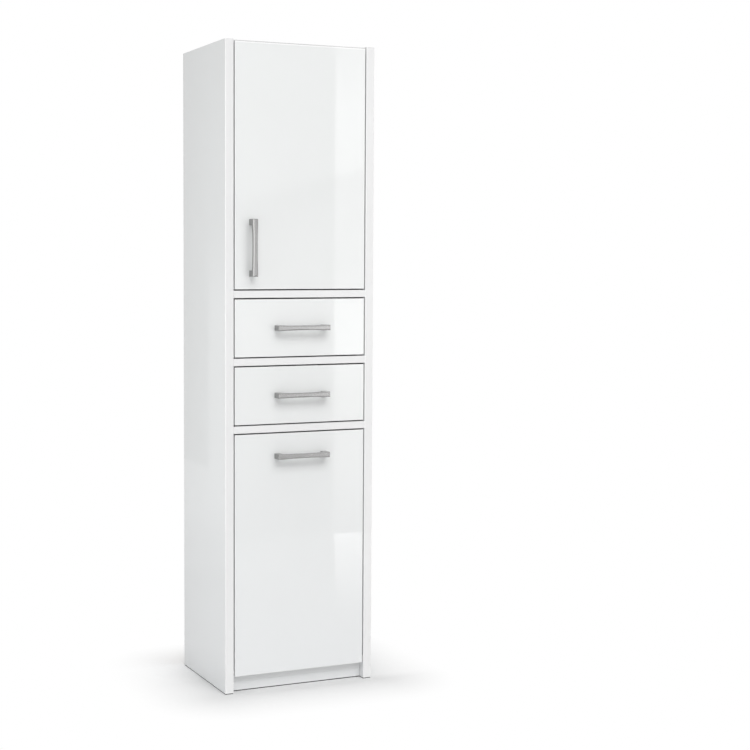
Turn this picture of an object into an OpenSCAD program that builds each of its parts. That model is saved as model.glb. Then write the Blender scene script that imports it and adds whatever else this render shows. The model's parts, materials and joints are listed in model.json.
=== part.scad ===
// Tall bathroom storage tower: hinged door, two drawers and a tilt-out laundry front.
// Millimetres. X runs across the front, Y from the front to the back, Z up.
// Origin: on the floor, in the middle of the overall width and depth.

/* [Cabinet] */
// Overall width
body_w = 400; // [360:1:480]
// Depth of the sides, without the handles
body_d = 300; // [280:1:380]
// Thickness of the two sides
side_t = 22; // [18:1:25]
// Thickness of the horizontal boards and the shelf
board_t = 18; // [16:1:19]
// Thickness of the back panel
back_t = 3; // [3:0.5:6]
// Distance from the rear edges to the back panel
back_inset = 12; // [8:1:20]
// Depth of the grooves that hold the back panel
back_groove = 8; // [5:1:9]
// Setback of the top and bottom boards behind the fronts
board_setback = 20; // [20:1:26]
// Height of the plinth board's upper edge
plinth_h = 24; // [20:1:60]
// Setback of the plinth behind the bottom board
plinth_setback = 1; // [0.5:0.5:10]
// Height of the floor glides
glide_h = 2; // [1:0.5:5]
// Diameter of the floor glides
glide_d = 18; // [12:1:20]

/* [Fronts] */
// Thickness of the door, drawer fronts and laundry front
front_t = 18; // [16:1:19]
// Gap round each front
front_gap = 3; // [2:0.5:4]
// Height of the door
door_h = 600; // [500:1:900]
// Height of each drawer front
drawer_h = 142; // [136:1:200]
// Height of the laundry front
flap_h = 600; // [560:1:680]
// Distance from the door's upper edge to the top of the sides
top_reveal = 2; // [1:0.5:4]
// Edge rounding of the visible board edges
edge_r = 1; // [0.5:0.25:1.5]

/* [Handles] */
// Distance between the handle screws
handle_pitch = 125; // [96:1:160]
// Length of each handle foot along the bar
foot_l = 15; // [10:1:18]
// Width of the bar at its ends
bar_w = 13; // [10:0.5:16]
// Width of the bar at its waist
waist_w = 11; // [8:0.5:13]
// Depth of the bar from front to back
bar_t = 10; // [8:0.5:12]
// Reach of the handle in front of the fronts
handle_reach = 28; // [24:1:40]
// Bevel along the bar's front edges
bar_bevel = 2.5; // [1:0.5:3]
// Handle centre from the door's free edge
door_handle_in = 44; // [25:1:80]
// Handle centre above the door's lower edge
door_handle_up = 101; // [90:1:300]
// Handle centre below the laundry front's upper edge
flap_handle_down = 56; // [30:1:120]

/* [Shelf] */
// Height of the shelf's underside
shelf_z = 1290; // [1200:1:1400]
// Setback of the shelf behind the fronts
shelf_setback = 35; // [30:1:60]
// Play at each end of the shelf
shelf_play = 1; // [0.5:0.5:2]
// Diameter of the shelf pins and of their holes
pin_d = 5; // [5:0.5:6]
// Spacing of the rows of pin holes
pin_pitch = 32; // [25:1:50]
// Depth of the pin holes
pin_hole = 10; // [8:1:14]
// Distance from the shelf's front edge to its front pins
pin_in_front = 40; // [30:1:80]
// Distance from the back panel to the rear pins
pin_in_rear = 45; // [30:1:80]

/* [Joinery] */
// Diameter of the cam discs
cam_d = 15; // [12:1:15]
// Distance from a board's end to the middle of its cam
cam_in = 34; // [24:1:34]
// Diameter of the cam bolts
bolt_d = 6; // [5:0.5:7]
// Diameter of the dowels
dowel_d = 8; // [6:1:8]
// Length of the dowels
dowel_l = 30; // [25:1:40]
// Distance of the fittings from a board's front and rear edges
joint_in = 50; // [40:1:80]
// Distance between a cam and its dowel
dowel_step = 32; // [24:1:40]

/* [Door hinges] */
// Hinge distance from the door's upper and lower edges
hinge_in = 92; // [70:1:130]
// Diameter of the hinge cup
cup_d = 35; // [35:1:36]
// Depth of the hinge cup
cup_depth = 11.5; // [11:0.5:12]
// Board left between the cup and the door's edge
cup_edge = 4.5; // [4:0.5:6]
// Thickness of the cup's flange
flange_t = 1.5; // [1:0.5:1.5]
// Width of the hinge link
link_w = 12; // [10:1:12]
// Thickness of the hinge link
link_t = 2.5; // [2:0.5:3]

/* [Drawers] */
// Space between the drawer box and the back panel
box_rear = 17; // [12:0.5:30]
// Height of the drawer sides
box_h = 92; // [70:1:92]
// Thickness of the drawer sides and back
box_t = 12; // [10:1:15]
// Thickness of the drawer bottom
bottom_t = 3; // [3:0.5:4]
// Height of the drawer bottom above the sides' lower edges
bottom_up = 10; // [8:1:14]
// Depth of the grooves that hold the drawer bottom
bottom_groove = 6; // [4:0.5:7]
// Height of the drawer box above the front's lower edge
box_rise = 14; // [12:1:20]
// Space for the runner at each side of the drawer
runner_space = 12.5; // [12.5:0.5:14]
// Sheet thickness of the runners
runner_t = 1.2; // [1:0.1:1.5]
// Diameter of the runner wheels
roller_d = 20; // [18:1:20]
// Width of the runner wheels
roller_w = 6.5; // [5:0.5:7]

/* [Laundry front] */
// Largest tilt of the laundry front
flap_open = 31; // [20:1:35]
// Height of the pivot above the front's lower edge
pivot_up = 10; // [9:0.5:14]
// Diameter of the pivot pins
pivot_d = 8; // [6:0.5:8]
// Radius of the stay's slot about the pivot
stay_r = 260; // [200:1:300]
// Sheet thickness of the stay
stay_t = 2; // [1.5:0.5:3]
// Diameter of the stay's stud
stud_d = 6; // [5:0.5:8]

/* [Wire basket] */
// Diameter of the rim wire
rim_d = 5; // [4:0.5:6]
// Diameter of the other wires
wire_d = 3; // [2.5:0.5:4]
// Space between each side of the cabinet and the middle of the basket's side wires
basket_gap = 17; // [17:0.5:38]
// Height of the lowest hoop above the laundry front's lower edge
basket_low = 130; // [100:1:160]
// Rise from one hoop to the next
hoop_step = 74.5; // [60:0.5:80]
// Number of hoops under the rim
hoops = 5; // [4:1:5]
// Rim height at the front, above the laundry front's lower edge
rim_up = 567; // [540:1:570]
// Fall of the rim from front to back
rim_fall = 93; // [60:1:110]
// Depth of the basket at its rim
rim_depth = 199; // [160:1:210]
// Depth of the basket where its back bends
bend_depth = 172; // [140:1:190]
// Height of the bend above the laundry front's lower edge
bend_up = 315; // [280:1:340]
// Depth of the basket at the lowest hoop
low_depth = 42; // [35:1:80]
// Corner radius of the hoops
hoop_r = 26; // [15:1:30]
// Number of upright wires on each side
side_wires = 6; // [4:1:8]
// Number of upright wires across the back and the front
back_wires = 10; // [6:1:12]

/* [Hidden] */
$fn = 48;

// Clearances: between pieces that fit, for a running shaft, and between sliding pieces
fit = 0.1;
running = 0.05;
slide = 0.3;
// A cut that passes through a face starts this far outside it
eps = 0.5;

// Places across the width: inner faces of the sides and edges of the fronts
inner_x = body_w / 2 - side_t;
front_x = inner_x - front_gap;
// Places in depth, measured from the plane of the fronts
front_y = (handle_reach - body_d) / 2;
back_y = body_d - back_inset - back_t;
// Heights of the stack, from the floor up
bottom_z = plinth_h;
flap_z = plinth_h + board_t;
divider_lower_z = flap_z + flap_h + front_gap;
drawer_lower_z = divider_lower_z + board_t + front_gap;
divider_middle_z = drawer_lower_z + drawer_h + front_gap;
drawer_upper_z = divider_middle_z + board_t + front_gap;
divider_upper_z = drawer_upper_z + drawer_h + front_gap;
door_z = divider_upper_z + board_t + front_gap;
body_h = door_z + door_h + top_reveal;
top_z = body_h - board_t;
board_zs = [bottom_z, divider_lower_z, divider_middle_z, divider_upper_z, top_z];
drawer_zs = [drawer_lower_z, drawer_upper_z];

// Screws: shank and head of the common wood screw, and of the handle screw
screw_d = 3.5;
screw_head_d = 7;
screw_head_t = 2;
handle_screw_d = 4;
handle_screw_head = 8;

// Draws its children in the row's frame, from the frame of the fronts
module in_frame() { translate([0, front_y, 0]) children(); }

// Draws its children as they are and mirrored to the other side
module both_sides() {
  children();
  mirror([1, 0, 0]) children();
}

// A cylinder that lies along X, from x0 to x1
module rod_x(d, x0, x1) { translate([x0, 0, 0]) rotate([0, 90, 0]) cylinder(d = d, h = x1 - x0); }

// A cylinder that lies along Y, from y0 to y1
module rod_y(d, y0, y1) { translate([0, y0, 0]) rotate([-90, 0, 0]) cylinder(d = d, h = y1 - y0); }

// A screw along -Y: its head's flat top at y = head_t, its shank going into -Y
module screw_y(length, d = screw_d, head_d = screw_head_d, head_t = screw_head_t) {
  rod_y(d, -length, 0.01);
  rod_y(head_d, 0, head_t);
}

// An upright board between two corners whose two front edges are rounded
module front_board(x0, x1, z0, z1, t) {
  translate([x0, 0, z0]) linear_extrude(z1 - z0) {
    translate([0, edge_r]) square([x1 - x0, t - edge_r]);
    translate([edge_r, 0]) square([x1 - x0 - 2 * edge_r, t]);
    for (x = [edge_r, x1 - x0 - edge_r]) translate([x, edge_r]) circle(r = edge_r);
  }
}

// A level board from y0 to y1 whose front edge is rounded along its length
module level_board(half_w, y0, y1, z, t = board_t) {
  translate([-half_w, 0, z]) rotate([90, 0, 90]) linear_extrude(2 * half_w) {
    translate([y0 + edge_r, 0]) square([y1 - y0 - edge_r, t]);
    translate([y0, edge_r]) square([2 * edge_r, t - 2 * edge_r]);
    for (z1 = [edge_r, t - edge_r]) translate([y0 + edge_r, z1]) circle(r = edge_r);
  }
}

// ---- Carcass ----

bolt_z = board_t / 2;
bolt_bite = 11;
cam_depth = 12.5;

// Depths of the front and rear fittings of a board that starts at y0
function joint_ys(y0) = [y0 + joint_in, back_y - joint_in];
function board_y0(z) = (z == bottom_z || z == top_z) ? board_setback : 0;

// Holes of one end of a board: cam pocket from below, bolt bore and dowel bore from the end
module board_bores(y0) {
  both_sides() for (y = joint_ys(y0)) {
    translate([inner_x - cam_in, y, -eps]) cylinder(d = cam_d + 2 * fit, h = cam_depth + eps);
    translate([0, y, bolt_z]) rod_x(bolt_d + 2 * fit, inner_x - cam_in, inner_x + eps);
    translate([0, y + dowel_dir(y, y0), bolt_z])
      rod_x(dowel_d + 2 * fit, inner_x - dowel_l / 2 - fit, inner_x + eps);
  }
}

// The dowel sits towards the middle of the board from each cam
function dowel_dir(y, y0) = y < (y0 + back_y) / 2 ? dowel_step : -dowel_step;

module carcass_board(z) {
  y0 = board_y0(z);
  difference() {
    level_board(inner_x, y0, z == top_z ? body_d : back_y, z);
    translate([0, 0, z]) board_bores(y0);
    if (z == top_z) back_slot();
  }
}

// The space that the back panel slides into, in the sides and the top panel
module back_slot() {
  w = inner_x + back_groove;
  translate([-w, back_y - fit, -eps])
    cube([2 * w, back_t + 2 * fit, top_z + back_groove + eps]);
}

// Holes in a side for the boards' bolts and dowels
module side_joint_bores() {
  for (z = board_zs) for (y = joint_ys(board_y0(z))) {
    translate([0, y, z + bolt_z]) rod_x(bolt_d - 1, inner_x - eps, inner_x + bolt_bite);
    translate([0, y + dowel_dir(y, board_y0(z)), z + bolt_z])
      rod_x(dowel_d + 2 * fit, inner_x - eps, inner_x + dowel_l / 2 + fit);
  }
}

// Five heights of pin holes, with the shelf on the middle one
pin_seat = 1;
pin_reach = 9;
pin_ys = [shelf_setback + pin_in_front, back_y - pin_in_rear];
pin_zs = [for (i = [-2:2]) shelf_z - pin_d / 2 - pin_seat + i * pin_pitch];

module pin_bores() {
  for (z = pin_zs) for (y = pin_ys)
    translate([0, y, z]) rod_x(pin_d + 2 * fit, inner_x - eps, inner_x + pin_hole);
}

// Seat of the laundry front's pivot bush
pivot_y = front_t / 2;
pivot_z = flap_z + pivot_up;
bush_d = pivot_d + 4;
bush_l = 10;

// Depth of the screws in the sides, and the hole that each screw's shank leaves
screw_bite = 10;
function pilot(d) = d + 2 * running;

// What both sides share, drawn as the right one
module side_board() {
  difference() {
    translate([0, 0, glide_h]) front_board(inner_x, body_w / 2, 0, body_h - glide_h, body_d);
    back_slot();
    side_joint_bores();
    pin_bores();
    translate([0, pivot_y, pivot_z]) rod_x(bush_d, inner_x - eps, inner_x + bush_l);
    for (y = glide_ys) translate([glide_x, y, 0])
      cylinder(d = pilot(glide_pin_d), h = glide_h + glide_pin_l);
    for (z0 = drawer_zs) for (y = runner_screw_ys) translate([0, y, runner_mid_z(z0)])
      rod_x(pilot(screw_d), inner_x - eps, inner_x + screw_bite + fit);
  }
}

module side_right() {
  color("white") in_frame() difference() {
    side_board();
    for (z = hinge_zs) for (s = [-1, 1]) translate([0, plate_y, z + s * plate_screw_z])
      rod_x(pilot(screw_d), inner_x - eps, inner_x + screw_bite + fit);
    translate([0, stud_at.x, stud_at.y])
      rod_x(pilot(stud_d), inner_x - eps, inner_x + stud_bite + fit);
  }
}
module side_left() { color("white") in_frame() mirror([1, 0, 0]) side_board(); }

// The bracket's screws go up into the top panel
module top_panel() {
  color("white") in_frame() difference() {
    carcass_board(top_z);
    for (x = bracket_screw_xs) translate([x, bracket_screw_y, top_z - eps])
      cylinder(d = pilot(screw_d), h = screw_bite + fit + eps);
  }
}
module divider_upper() { color("white") in_frame() carcass_board(divider_upper_z); }
module divider_middle() { color("white") in_frame() carcass_board(divider_middle_z); }
module divider_lower() { color("white") in_frame() carcass_board(divider_lower_z); }
module bottom_panel() { color("white") in_frame() carcass_board(bottom_z); }

module plinth() {
  y0 = board_setback + plinth_setback;
  color("white") in_frame()
    translate([-inner_x, y0, glide_h]) cube([2 * inner_x, board_t, plinth_h - glide_h]);
}

// The bracket's screw passes through the back panel
module back_panel() {
  w = inner_x + back_groove - fit;
  color("white") in_frame() difference() {
    translate([-w, back_y, glide_h + plinth_h / 2])
      cube([2 * w, back_t, top_z + back_groove - fit - glide_h - plinth_h / 2]);
    translate([0, 0, bracket_hole_z]) rod_y(wall_hole_d, back_y - eps, back_y + back_t + eps);
  }
}

module shelf() {
  color("white") in_frame()
    level_board(inner_x - shelf_play, shelf_setback, back_y - shelf_play, shelf_z);
}

// Stepped pins: a shank in the side and a wider seat under the shelf
module shelf_pins() {
  z = pin_zs[2];
  seat_d = pin_d + 2 * pin_seat;
  color("dimgray") in_frame() both_sides() for (y = pin_ys) translate([0, y, z]) {
    rod_x(pin_d, inner_x - pin_reach, inner_x + pin_hole - 1);
    rod_x(seat_d, inner_x - shelf_play, inner_x);
    rod_x(seat_d, inner_x - pin_reach, inner_x - pin_reach / 3);
  }
}

glide_x = inner_x + side_t / 2;
glide_in = 30;
glide_ys = [glide_in, body_d - glide_in];
glide_pin_d = 3;
glide_pin_l = 12;

module glides() {
  color("gainsboro") in_frame() both_sides() for (y = glide_ys) translate([glide_x, y, 0]) {
    cylinder(d1 = glide_d - 1, d2 = glide_d, h = glide_h);
    cylinder(d = glide_pin_d, h = glide_h + glide_pin_l - 1);
  }
}

// ---- Fittings of the carcass ----

module cam_discs() {
  color("silver") in_frame() both_sides() for (z = board_zs) for (y = joint_ys(board_y0(z)))
    translate([inner_x - cam_in, y, z]) difference() {
      cylinder(d = cam_d, h = cam_depth - fit);
      // Cross slot for the screwdriver
      translate([0, 0, 1]) for (a = [0, 90]) rotate(a) cube([8, 1.5, 4], center = true);
      // Mouth that takes the bolt's head
      translate([0, 0, bolt_z]) rod_x(bolt_d + 2, 1, cam_d);
    }
}

module cam_bolts() {
  head_x = inner_x - cam_in + 1 + fit;
  color("silver") in_frame() both_sides() for (z = board_zs) for (y = joint_ys(board_y0(z)))
    translate([0, y, z + bolt_z]) {
      rod_x(bolt_d, head_x, head_x + 2);
      rod_x(bolt_d - 2, head_x, inner_x - 2);
      rod_x(bolt_d, inner_x - 8, inner_x - fit);
      rod_x(bolt_d - 1.2, inner_x - 3, inner_x + bolt_bite - 1);
    }
}

module dowels() {
  color("burlywood") in_frame() both_sides() for (z = board_zs) for (y = joint_ys(board_y0(z)))
    translate([0, y + dowel_dir(y, board_y0(z)), z + bolt_z])
      rod_x(dowel_d, inner_x - dowel_l / 2, inner_x + dowel_l / 2);
}

// Angle bracket under the top panel, screwed up into it and through the back to the wall
bracket_leg = 36;
bracket_w = 40;
bracket_t = 2;
wall_hole_d = 5.5;
bracket_hole_z = top_z - bracket_leg + 12;
bracket_screw_y = back_y - bracket_leg + 12;
bracket_screw_xs = [-11, 11];

module wall_bracket() {
  color("silver") in_frame() difference() {
    translate([-bracket_w / 2, back_y - bracket_leg, top_z - bracket_leg]) difference() {
      cube([bracket_w, bracket_leg, bracket_leg]);
      translate([-eps, -bracket_t, -bracket_t])
        cube([bracket_w + 2 * eps, bracket_leg, bracket_leg]);
    }
    translate([0, 0, bracket_hole_z]) rod_y(wall_hole_d, back_y - bracket_t - eps, back_y + eps);
    for (x = bracket_screw_xs) translate([x, bracket_screw_y, top_z - bracket_t - eps])
      cylinder(d = screw_d + 0.5, h = bracket_t + 2 * eps);
  }
}

// Screws that stay with the carcass: bracket, hinge plates and cabinet runners
module carcass_screws() {
  color("silver") in_frame() {
    for (x = bracket_screw_xs) translate([x, bracket_screw_y, top_z - bracket_t]) {
      translate([0, 0, -screw_head_t]) cylinder(d = screw_head_d, h = screw_head_t);
      cylinder(d = screw_d, h = bracket_t + screw_bite);
    }
    for (z = hinge_zs) for (s = [-1, 1]) translate([0, plate_y, z + s * plate_screw_z]) {
      rod_x(screw_head_d, inner_x - plate_t - screw_head_t, inner_x - plate_t);
      rod_x(screw_d, inner_x - plate_t, inner_x + screw_bite);
    }
    both_sides() for (z0 = drawer_zs) for (y = runner_screw_ys)
      translate([0, y, runner_mid_z(z0)]) {
        rod_x(screw_head_d, inner_x - runner_t - 1.5, inner_x - runner_t);
        rod_x(screw_d, inner_x - runner_t, inner_x + screw_bite);
      }
  }
}

// ---- Handles ----

handle_l = handle_pitch + foot_l;

// Front outline of the bar: straight ends and a long shallow waist on both edges
module bar_outline() {
  sag = (bar_w - waist_w) / 2;
  chord = handle_pitch - foot_l;
  waist_r = (chord * chord / 4 + sag * sag) / (2 * sag);
  difference() {
    square([handle_l, bar_w], center = true);
    for (s = [-1, 1]) translate([0, s * (bar_w / 2 - sag + waist_r)]) circle(r = waist_r, $fn = 720);
  }
}

// A handle along X on a front's face at y = 0, centred on its two screws
module handle() {
  color("darkgray") difference() {
    union() {
      intersection() {
        translate([0, -handle_reach, 0]) rotate([-90, 0, 0]) linear_extrude(bar_t) bar_outline();
        rotate([90, 0, 90]) linear_extrude(handle_l, center = true) polygon([
          [-handle_reach + bar_bevel, -bar_w / 2], [-handle_reach, -bar_w / 2 + bar_bevel],
          [-handle_reach, bar_w / 2 - bar_bevel], [-handle_reach + bar_bevel, bar_w / 2],
          [0, bar_w / 2], [0, -bar_w / 2]]);
      }
      for (s = [-1, 1]) translate([s * handle_pitch / 2, -(handle_reach - bar_t / 2) / 2, 0])
        cube([foot_l, handle_reach - bar_t / 2, bar_w], center = true);
    }
    for (s = [-1, 1]) translate([s * handle_pitch / 2, 0, 0])
      rod_y(handle_screw_d + 2 * fit, -handle_reach + bar_t / 2, eps);
  }
}

// The handle's two screws, with their heads on the front's inner face
module handle_screws() {
  for (s = [-1, 1]) translate([s * handle_pitch / 2, front_t, 0])
    screw_y(front_t + 12, handle_screw_d, handle_screw_head);
}

module handle_bores() {
  for (s = [-1, 1]) translate([s * handle_pitch / 2, 0, 0])
    rod_y(handle_screw_d + 0.5, -eps, front_t + eps);
}

// A front panel with rounded edges all round its face
module panel(h) {
  intersection() {
    front_board(-front_x, front_x, 0, h, front_t);
    level_board(front_x + eps, 0, front_t, 0, h);
  }
}

// ---- Door and its hinges ----

cup_x = front_x - cup_edge - cup_d / 2;
hinge_zs = [door_z + door_h - hinge_in, door_z + hinge_in];
cup_y = front_t - cup_depth;
cup_wall = 1.5;
// Screws of the cup's wings, towards the middle of the door
wing_screw_z = 24;
wing_x = cup_x - 6;
// Pivot of the link in the cup
link_pivot = [front_x - 11, front_t - 6.5];
link_pin_d = 3;

module door() {
  color("white") in_frame() difference() {
    translate([0, 0, door_z]) panel(door_h);
    for (z = hinge_zs) translate([cup_x, 0, z]) rod_y(cup_d + 2 * fit, cup_y - fit, front_t + eps);
    translate(door_handle_at) rotate([0, 90, 0]) handle_bores();
    for (z = hinge_zs) for (s = [-1, 1]) translate([wing_x, 0, z + s * wing_screw_z])
      rod_y(screw_d - 1, front_t - 11, front_t + eps);
  }
}

door_handle_at = [-front_x + door_handle_in, 0, door_z + door_handle_up];
module door_handle() { in_frame() translate(door_handle_at) rotate([0, 90, 0]) handle(); }

module door_screws() {
  color("silver") in_frame() {
    translate(door_handle_at) rotate([0, 90, 0]) handle_screws();
    for (z = hinge_zs) for (s = [-1, 1]) translate([wing_x, front_t + flange_t, z + s * wing_screw_z])
      screw_y(flange_t + 10, screw_d - 1.2, screw_head_d - 1, 1.5);
  }
}

// Cup with its flange, screw wings and the pin that carries the link
module hinge_cups() {
  wing_w = 15;
  wing_l = 2 * wing_screw_z + 12;
  color("dimgray") in_frame() for (z = hinge_zs) translate([0, 0, z]) {
    difference() {
      union() {
        translate([cup_x, 0, 0]) rod_y(cup_d, cup_y, front_t + flange_t);
        translate([cup_x, 0, 0]) rod_y(cup_d + 2, front_t, front_t + flange_t);
        translate([wing_x, front_t, 0]) rotate([-90, 0, 0]) linear_extrude(flange_t) {
          square([wing_w, wing_l - wing_w], center = true);
          for (s = [-1, 1]) translate([0, s * (wing_l - wing_w) / 2]) circle(d = wing_w);
        }
      }
      translate([cup_x, 0, 0])
        rod_y(cup_d - 2 * cup_wall, cup_y + 1, front_t + flange_t + eps);
      for (s = [-1, 1]) translate([wing_x, 0, s * wing_screw_z])
        rod_y(screw_d - 1, front_t - eps, front_t + flange_t + eps);
    }
    translate([link_pivot.x, link_pivot.y, 0])
      cylinder(d = link_pin_d, h = pin_span, center = true);
  }
}
// The pin reaches from wall to wall of the cup at its place
pin_off = link_pivot.x - cup_x;
pin_span = 2 * sqrt(pow(cup_d / 2 - cup_wall / 2, 2) - pin_off * pin_off);

// Mounting plates on the right side: a base under the arm and two screw wings
plate_t = 2;
plate_y = 37;
plate_screw_z = 16;
plate_l = 46;
arm_y0 = front_t + flange_t + 1;
arm_tail = 30;
arm_y1 = plate_y + arm_tail;

module hinge_plates() {
  color("dimgray") in_frame() for (z = hinge_zs) translate([inner_x - plate_t, 0, z])
    rotate([0, 90, 0]) linear_extrude(plate_t) difference() {
      union() {
        translate([-link_w / 2 - 3, arm_y0 + 4]) square([link_w + 6, arm_y1 - arm_y0 - 4]);
        translate([0, plate_y]) square([plate_l - 16, 16], center = true);
        for (s = [-1, 1]) translate([s * (plate_l - 16) / 2, plate_y]) circle(d = 16);
      }
      for (s = [-1, 1]) translate([s * plate_screw_z, plate_y]) circle(d = screw_d + 0.5);
    }
}

// The arm is a folded channel that opens towards the side: two cheeks and a web whose rear
// slopes down to a solid block over the plate. Distances u run from the side into the cabinet.
arm_wall = 1.2;
arm_play = slide;
arm_front_u = 29.5;
arm_bend_y = plate_y + 4;
arm_slope_u = 16;
arm_slope_y = arm_y1 - 7;
arm_rear_u = 14;
arm_block_y = arm_y1 - 9;

module arm_outline() {
  polygon([
    [inner_x - plate_t, arm_y0], [inner_x - arm_front_u, arm_y0],
    [inner_x - arm_front_u, arm_bend_y], [inner_x - arm_slope_u, arm_slope_y],
    [inner_x - arm_rear_u, arm_y1], [inner_x - plate_t, arm_y1]]);
}

module arm_hollow() {
  intersection() {
    translate([arm_wall, 0]) union() {
      arm_outline();
      translate([inner_x - arm_front_u, arm_y0 - eps]) square([arm_front_u, 2 * eps]);
    }
    translate([inner_x - arm_front_u, arm_y0 - eps])
      square([arm_front_u, arm_block_y - arm_y0 + eps]);
  }
}

module hinge_arms() {
  inside = link_w + 2 * arm_play;
  color("dimgray") in_frame() for (z = hinge_zs) translate([0, 0, z]) difference() {
    linear_extrude(inside + 2 * arm_wall, center = true) arm_outline();
    linear_extrude(inside, center = true) arm_hollow();
    // Slot and bore of the two adjusting screws in the web and block
    translate([inner_x - arm_slope_u, arm_block_y + 3, 0]) rod_x(5, -8, 3);
  }
}

// The link is cranked: its short leg turns on the cup's pin and its long leg runs in the arm
link_short = 10.8;
link_long = 42.3;
link_short_a = 162.2;
link_long_a = 73.8;

module hinge_link(z) {
  bend = link_pivot + link_short * [cos(link_short_a), sin(link_short_a)];
  color("gray") in_frame() translate([0, 0, z]) difference() {
    linear_extrude(link_w, center = true) {
      translate(link_pivot) circle(d = link_pin_d + 3);
      translate(link_pivot) rotate(link_short_a) translate([0, -link_t / 2]) square([link_short, link_t]);
      translate(bend) circle(d = link_t);
      translate(bend) rotate(link_long_a) translate([0, -link_t / 2]) square([link_long, link_t]);
      translate(bend) rotate(link_long_a) translate([link_long, 0]) circle(d = link_t + 0.5);
    }
    translate([link_pivot.x, link_pivot.y, 0])
      cylinder(d = link_pin_d + 2 * running, h = link_w + 2 * eps, center = true);
  }
}
module hinge_link_upper() { hinge_link(hinge_zs[0]); }
module hinge_link_lower() { hinge_link(hinge_zs[1]); }

// ---- Drawers: each module draws one piece for the front whose lower edge is at z0 ----

box_x = inner_x - runner_space;
box_y1 = back_y - box_rear;
box_l = box_y1 - front_t;
function box_z(z0) = z0 + box_rise;
// The wheels sit low beside the drawer side; the rail above them is the drawer's own lip
roller_z = 4.5;
lip_z = roller_z + roller_d / 2 + slide;
roller_x = box_x + runner_t + slide;
roller_front_y = front_t + 0.7 * roller_d;
roller_rear_y = box_y1 - 0.6 * roller_d;
function runner_mid_z(z0) = box_z(z0) + roller_z;
runner_screw_ys = [front_t + 0.18 * box_l, front_t + 0.82 * box_l];

module drawer_front(z0) {
  color("white") in_frame() difference() {
    translate([0, 0, z0]) panel(drawer_h);
    translate([0, 0, z0 + drawer_h / 2]) handle_bores();
    translate([0, 0, box_z(z0)]) bottom_slot();
    at_box_cams(z0) rod_y(pilot(box_bolt_d), -box_bolt_bite - fit, eps);
  }
}
module drawer_handle(z0) { in_frame() translate([0, 0, z0 + drawer_h / 2]) handle(); }

// The space that the drawer bottom fills, with its clearance
module bottom_slot() {
  w = box_x - box_t + bottom_groove;
  translate([-w, front_t - bottom_groove, bottom_up - fit])
    cube([2 * w, box_l + bottom_groove + eps, bottom_t + 2 * fit]);
}

// Heights of the screws that hold the back, above the side's lower edge
box_joint_zs = [25, box_h - 15];
box_screw_bite = 20;

// Fittings that hold the front: a bolt in the front and a cam in each side's inner face
box_cam_d = 12;
box_cam_depth = 9.5;
box_cam_in = 24;
box_cam_slot = [2.5, 7, 1.3];
box_bolt_d = 5;
box_bolt_bite = 10;

// Draws its children where each bolt leaves the front, in the middle of the side's thickness
module at_box_cams(z0) {
  both_sides() for (z = box_joint_zs) translate([box_x - box_t / 2, front_t, box_z(z0) + z]) children();
}

module box_cams(z0) {
  at_box_cams(z0) {
    // Bolt: its threaded end, the shank up to the cam, and a neck and head in the cam's mouth
    rod_y(box_bolt_d, -box_bolt_bite, box_cam_in - box_cam_d / 2 - fit);
    rod_y(box_bolt_d - 2, 0, box_cam_in - 1);
    rod_y(box_bolt_d - 2 * fit, box_cam_in - 3, box_cam_in - 1);
    translate([0, box_cam_in, 0]) difference() {
      rod_x(box_cam_d, -box_t / 2, box_cam_depth - box_t / 2 - fit);
      // Mouth that takes the bolt's head, and the cross slot for the screwdriver
      rod_y(box_bolt_d, -box_cam_d, 0);
      translate([-box_t / 2, 0, 0]) for (a = [0, 90]) rotate([a, 0, 0]) cube(box_cam_slot, center = true);
    }
  }
}

// Bores for the screws of the back
module box_bores(z0, reach) {
  both_sides() for (z = box_joint_zs) translate([0, box_y1 - box_t / 2, box_z(z0) + z])
    rod_x(pilot(screw_d), box_x - box_t - reach, box_x + eps);
}

module drawer_side(z0) {
  color("whitesmoke") in_frame() difference() {
    translate([box_x - box_t, front_t, box_z(z0)]) cube([box_t, box_l, box_h]);
    translate([0, 0, box_z(z0)]) bottom_slot();
    box_bores(z0, eps);
    at_box_cams(z0) {
      rod_y(box_bolt_d + 2 * fit, -eps, box_cam_in);
      translate([0, box_cam_in, 0]) rod_x(box_cam_d + 2 * fit, -box_t / 2 - eps, box_cam_depth - box_t / 2);
    }
  }
}

module drawer_back(z0) {
  z = bottom_up + bottom_t + fit;
  w = box_x - box_t;
  color("whitesmoke") in_frame() difference() {
    translate([-w, box_y1 - box_t, box_z(z0) + z]) cube([2 * w, box_t, box_h - z - 8]);
    box_bores(z0, box_screw_bite + fit);
  }
}

module drawer_bottom(z0) {
  w = box_x - box_t + bottom_groove - fit;
  color("white") in_frame() translate([-w, front_t - bottom_groove + fit, box_z(z0) + bottom_up])
    cube([2 * w, box_l + bottom_groove - fit, bottom_t]);
}

// Screws through the sides into the back, the handle's screws and the fittings of the front
module drawer_screws(z0) {
  color("silver") in_frame() {
    box_cams(z0);
    translate([0, 0, z0 + drawer_h / 2]) handle_screws();
    both_sides() for (z = box_joint_zs) translate([0, box_y1 - box_t / 2, box_z(z0) + z]) {
      rod_x(screw_d, box_x - box_t - box_screw_bite, box_x + 0.5);
      rod_x(screw_head_d, box_x, box_x + 1);
    }
  }
}

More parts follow.
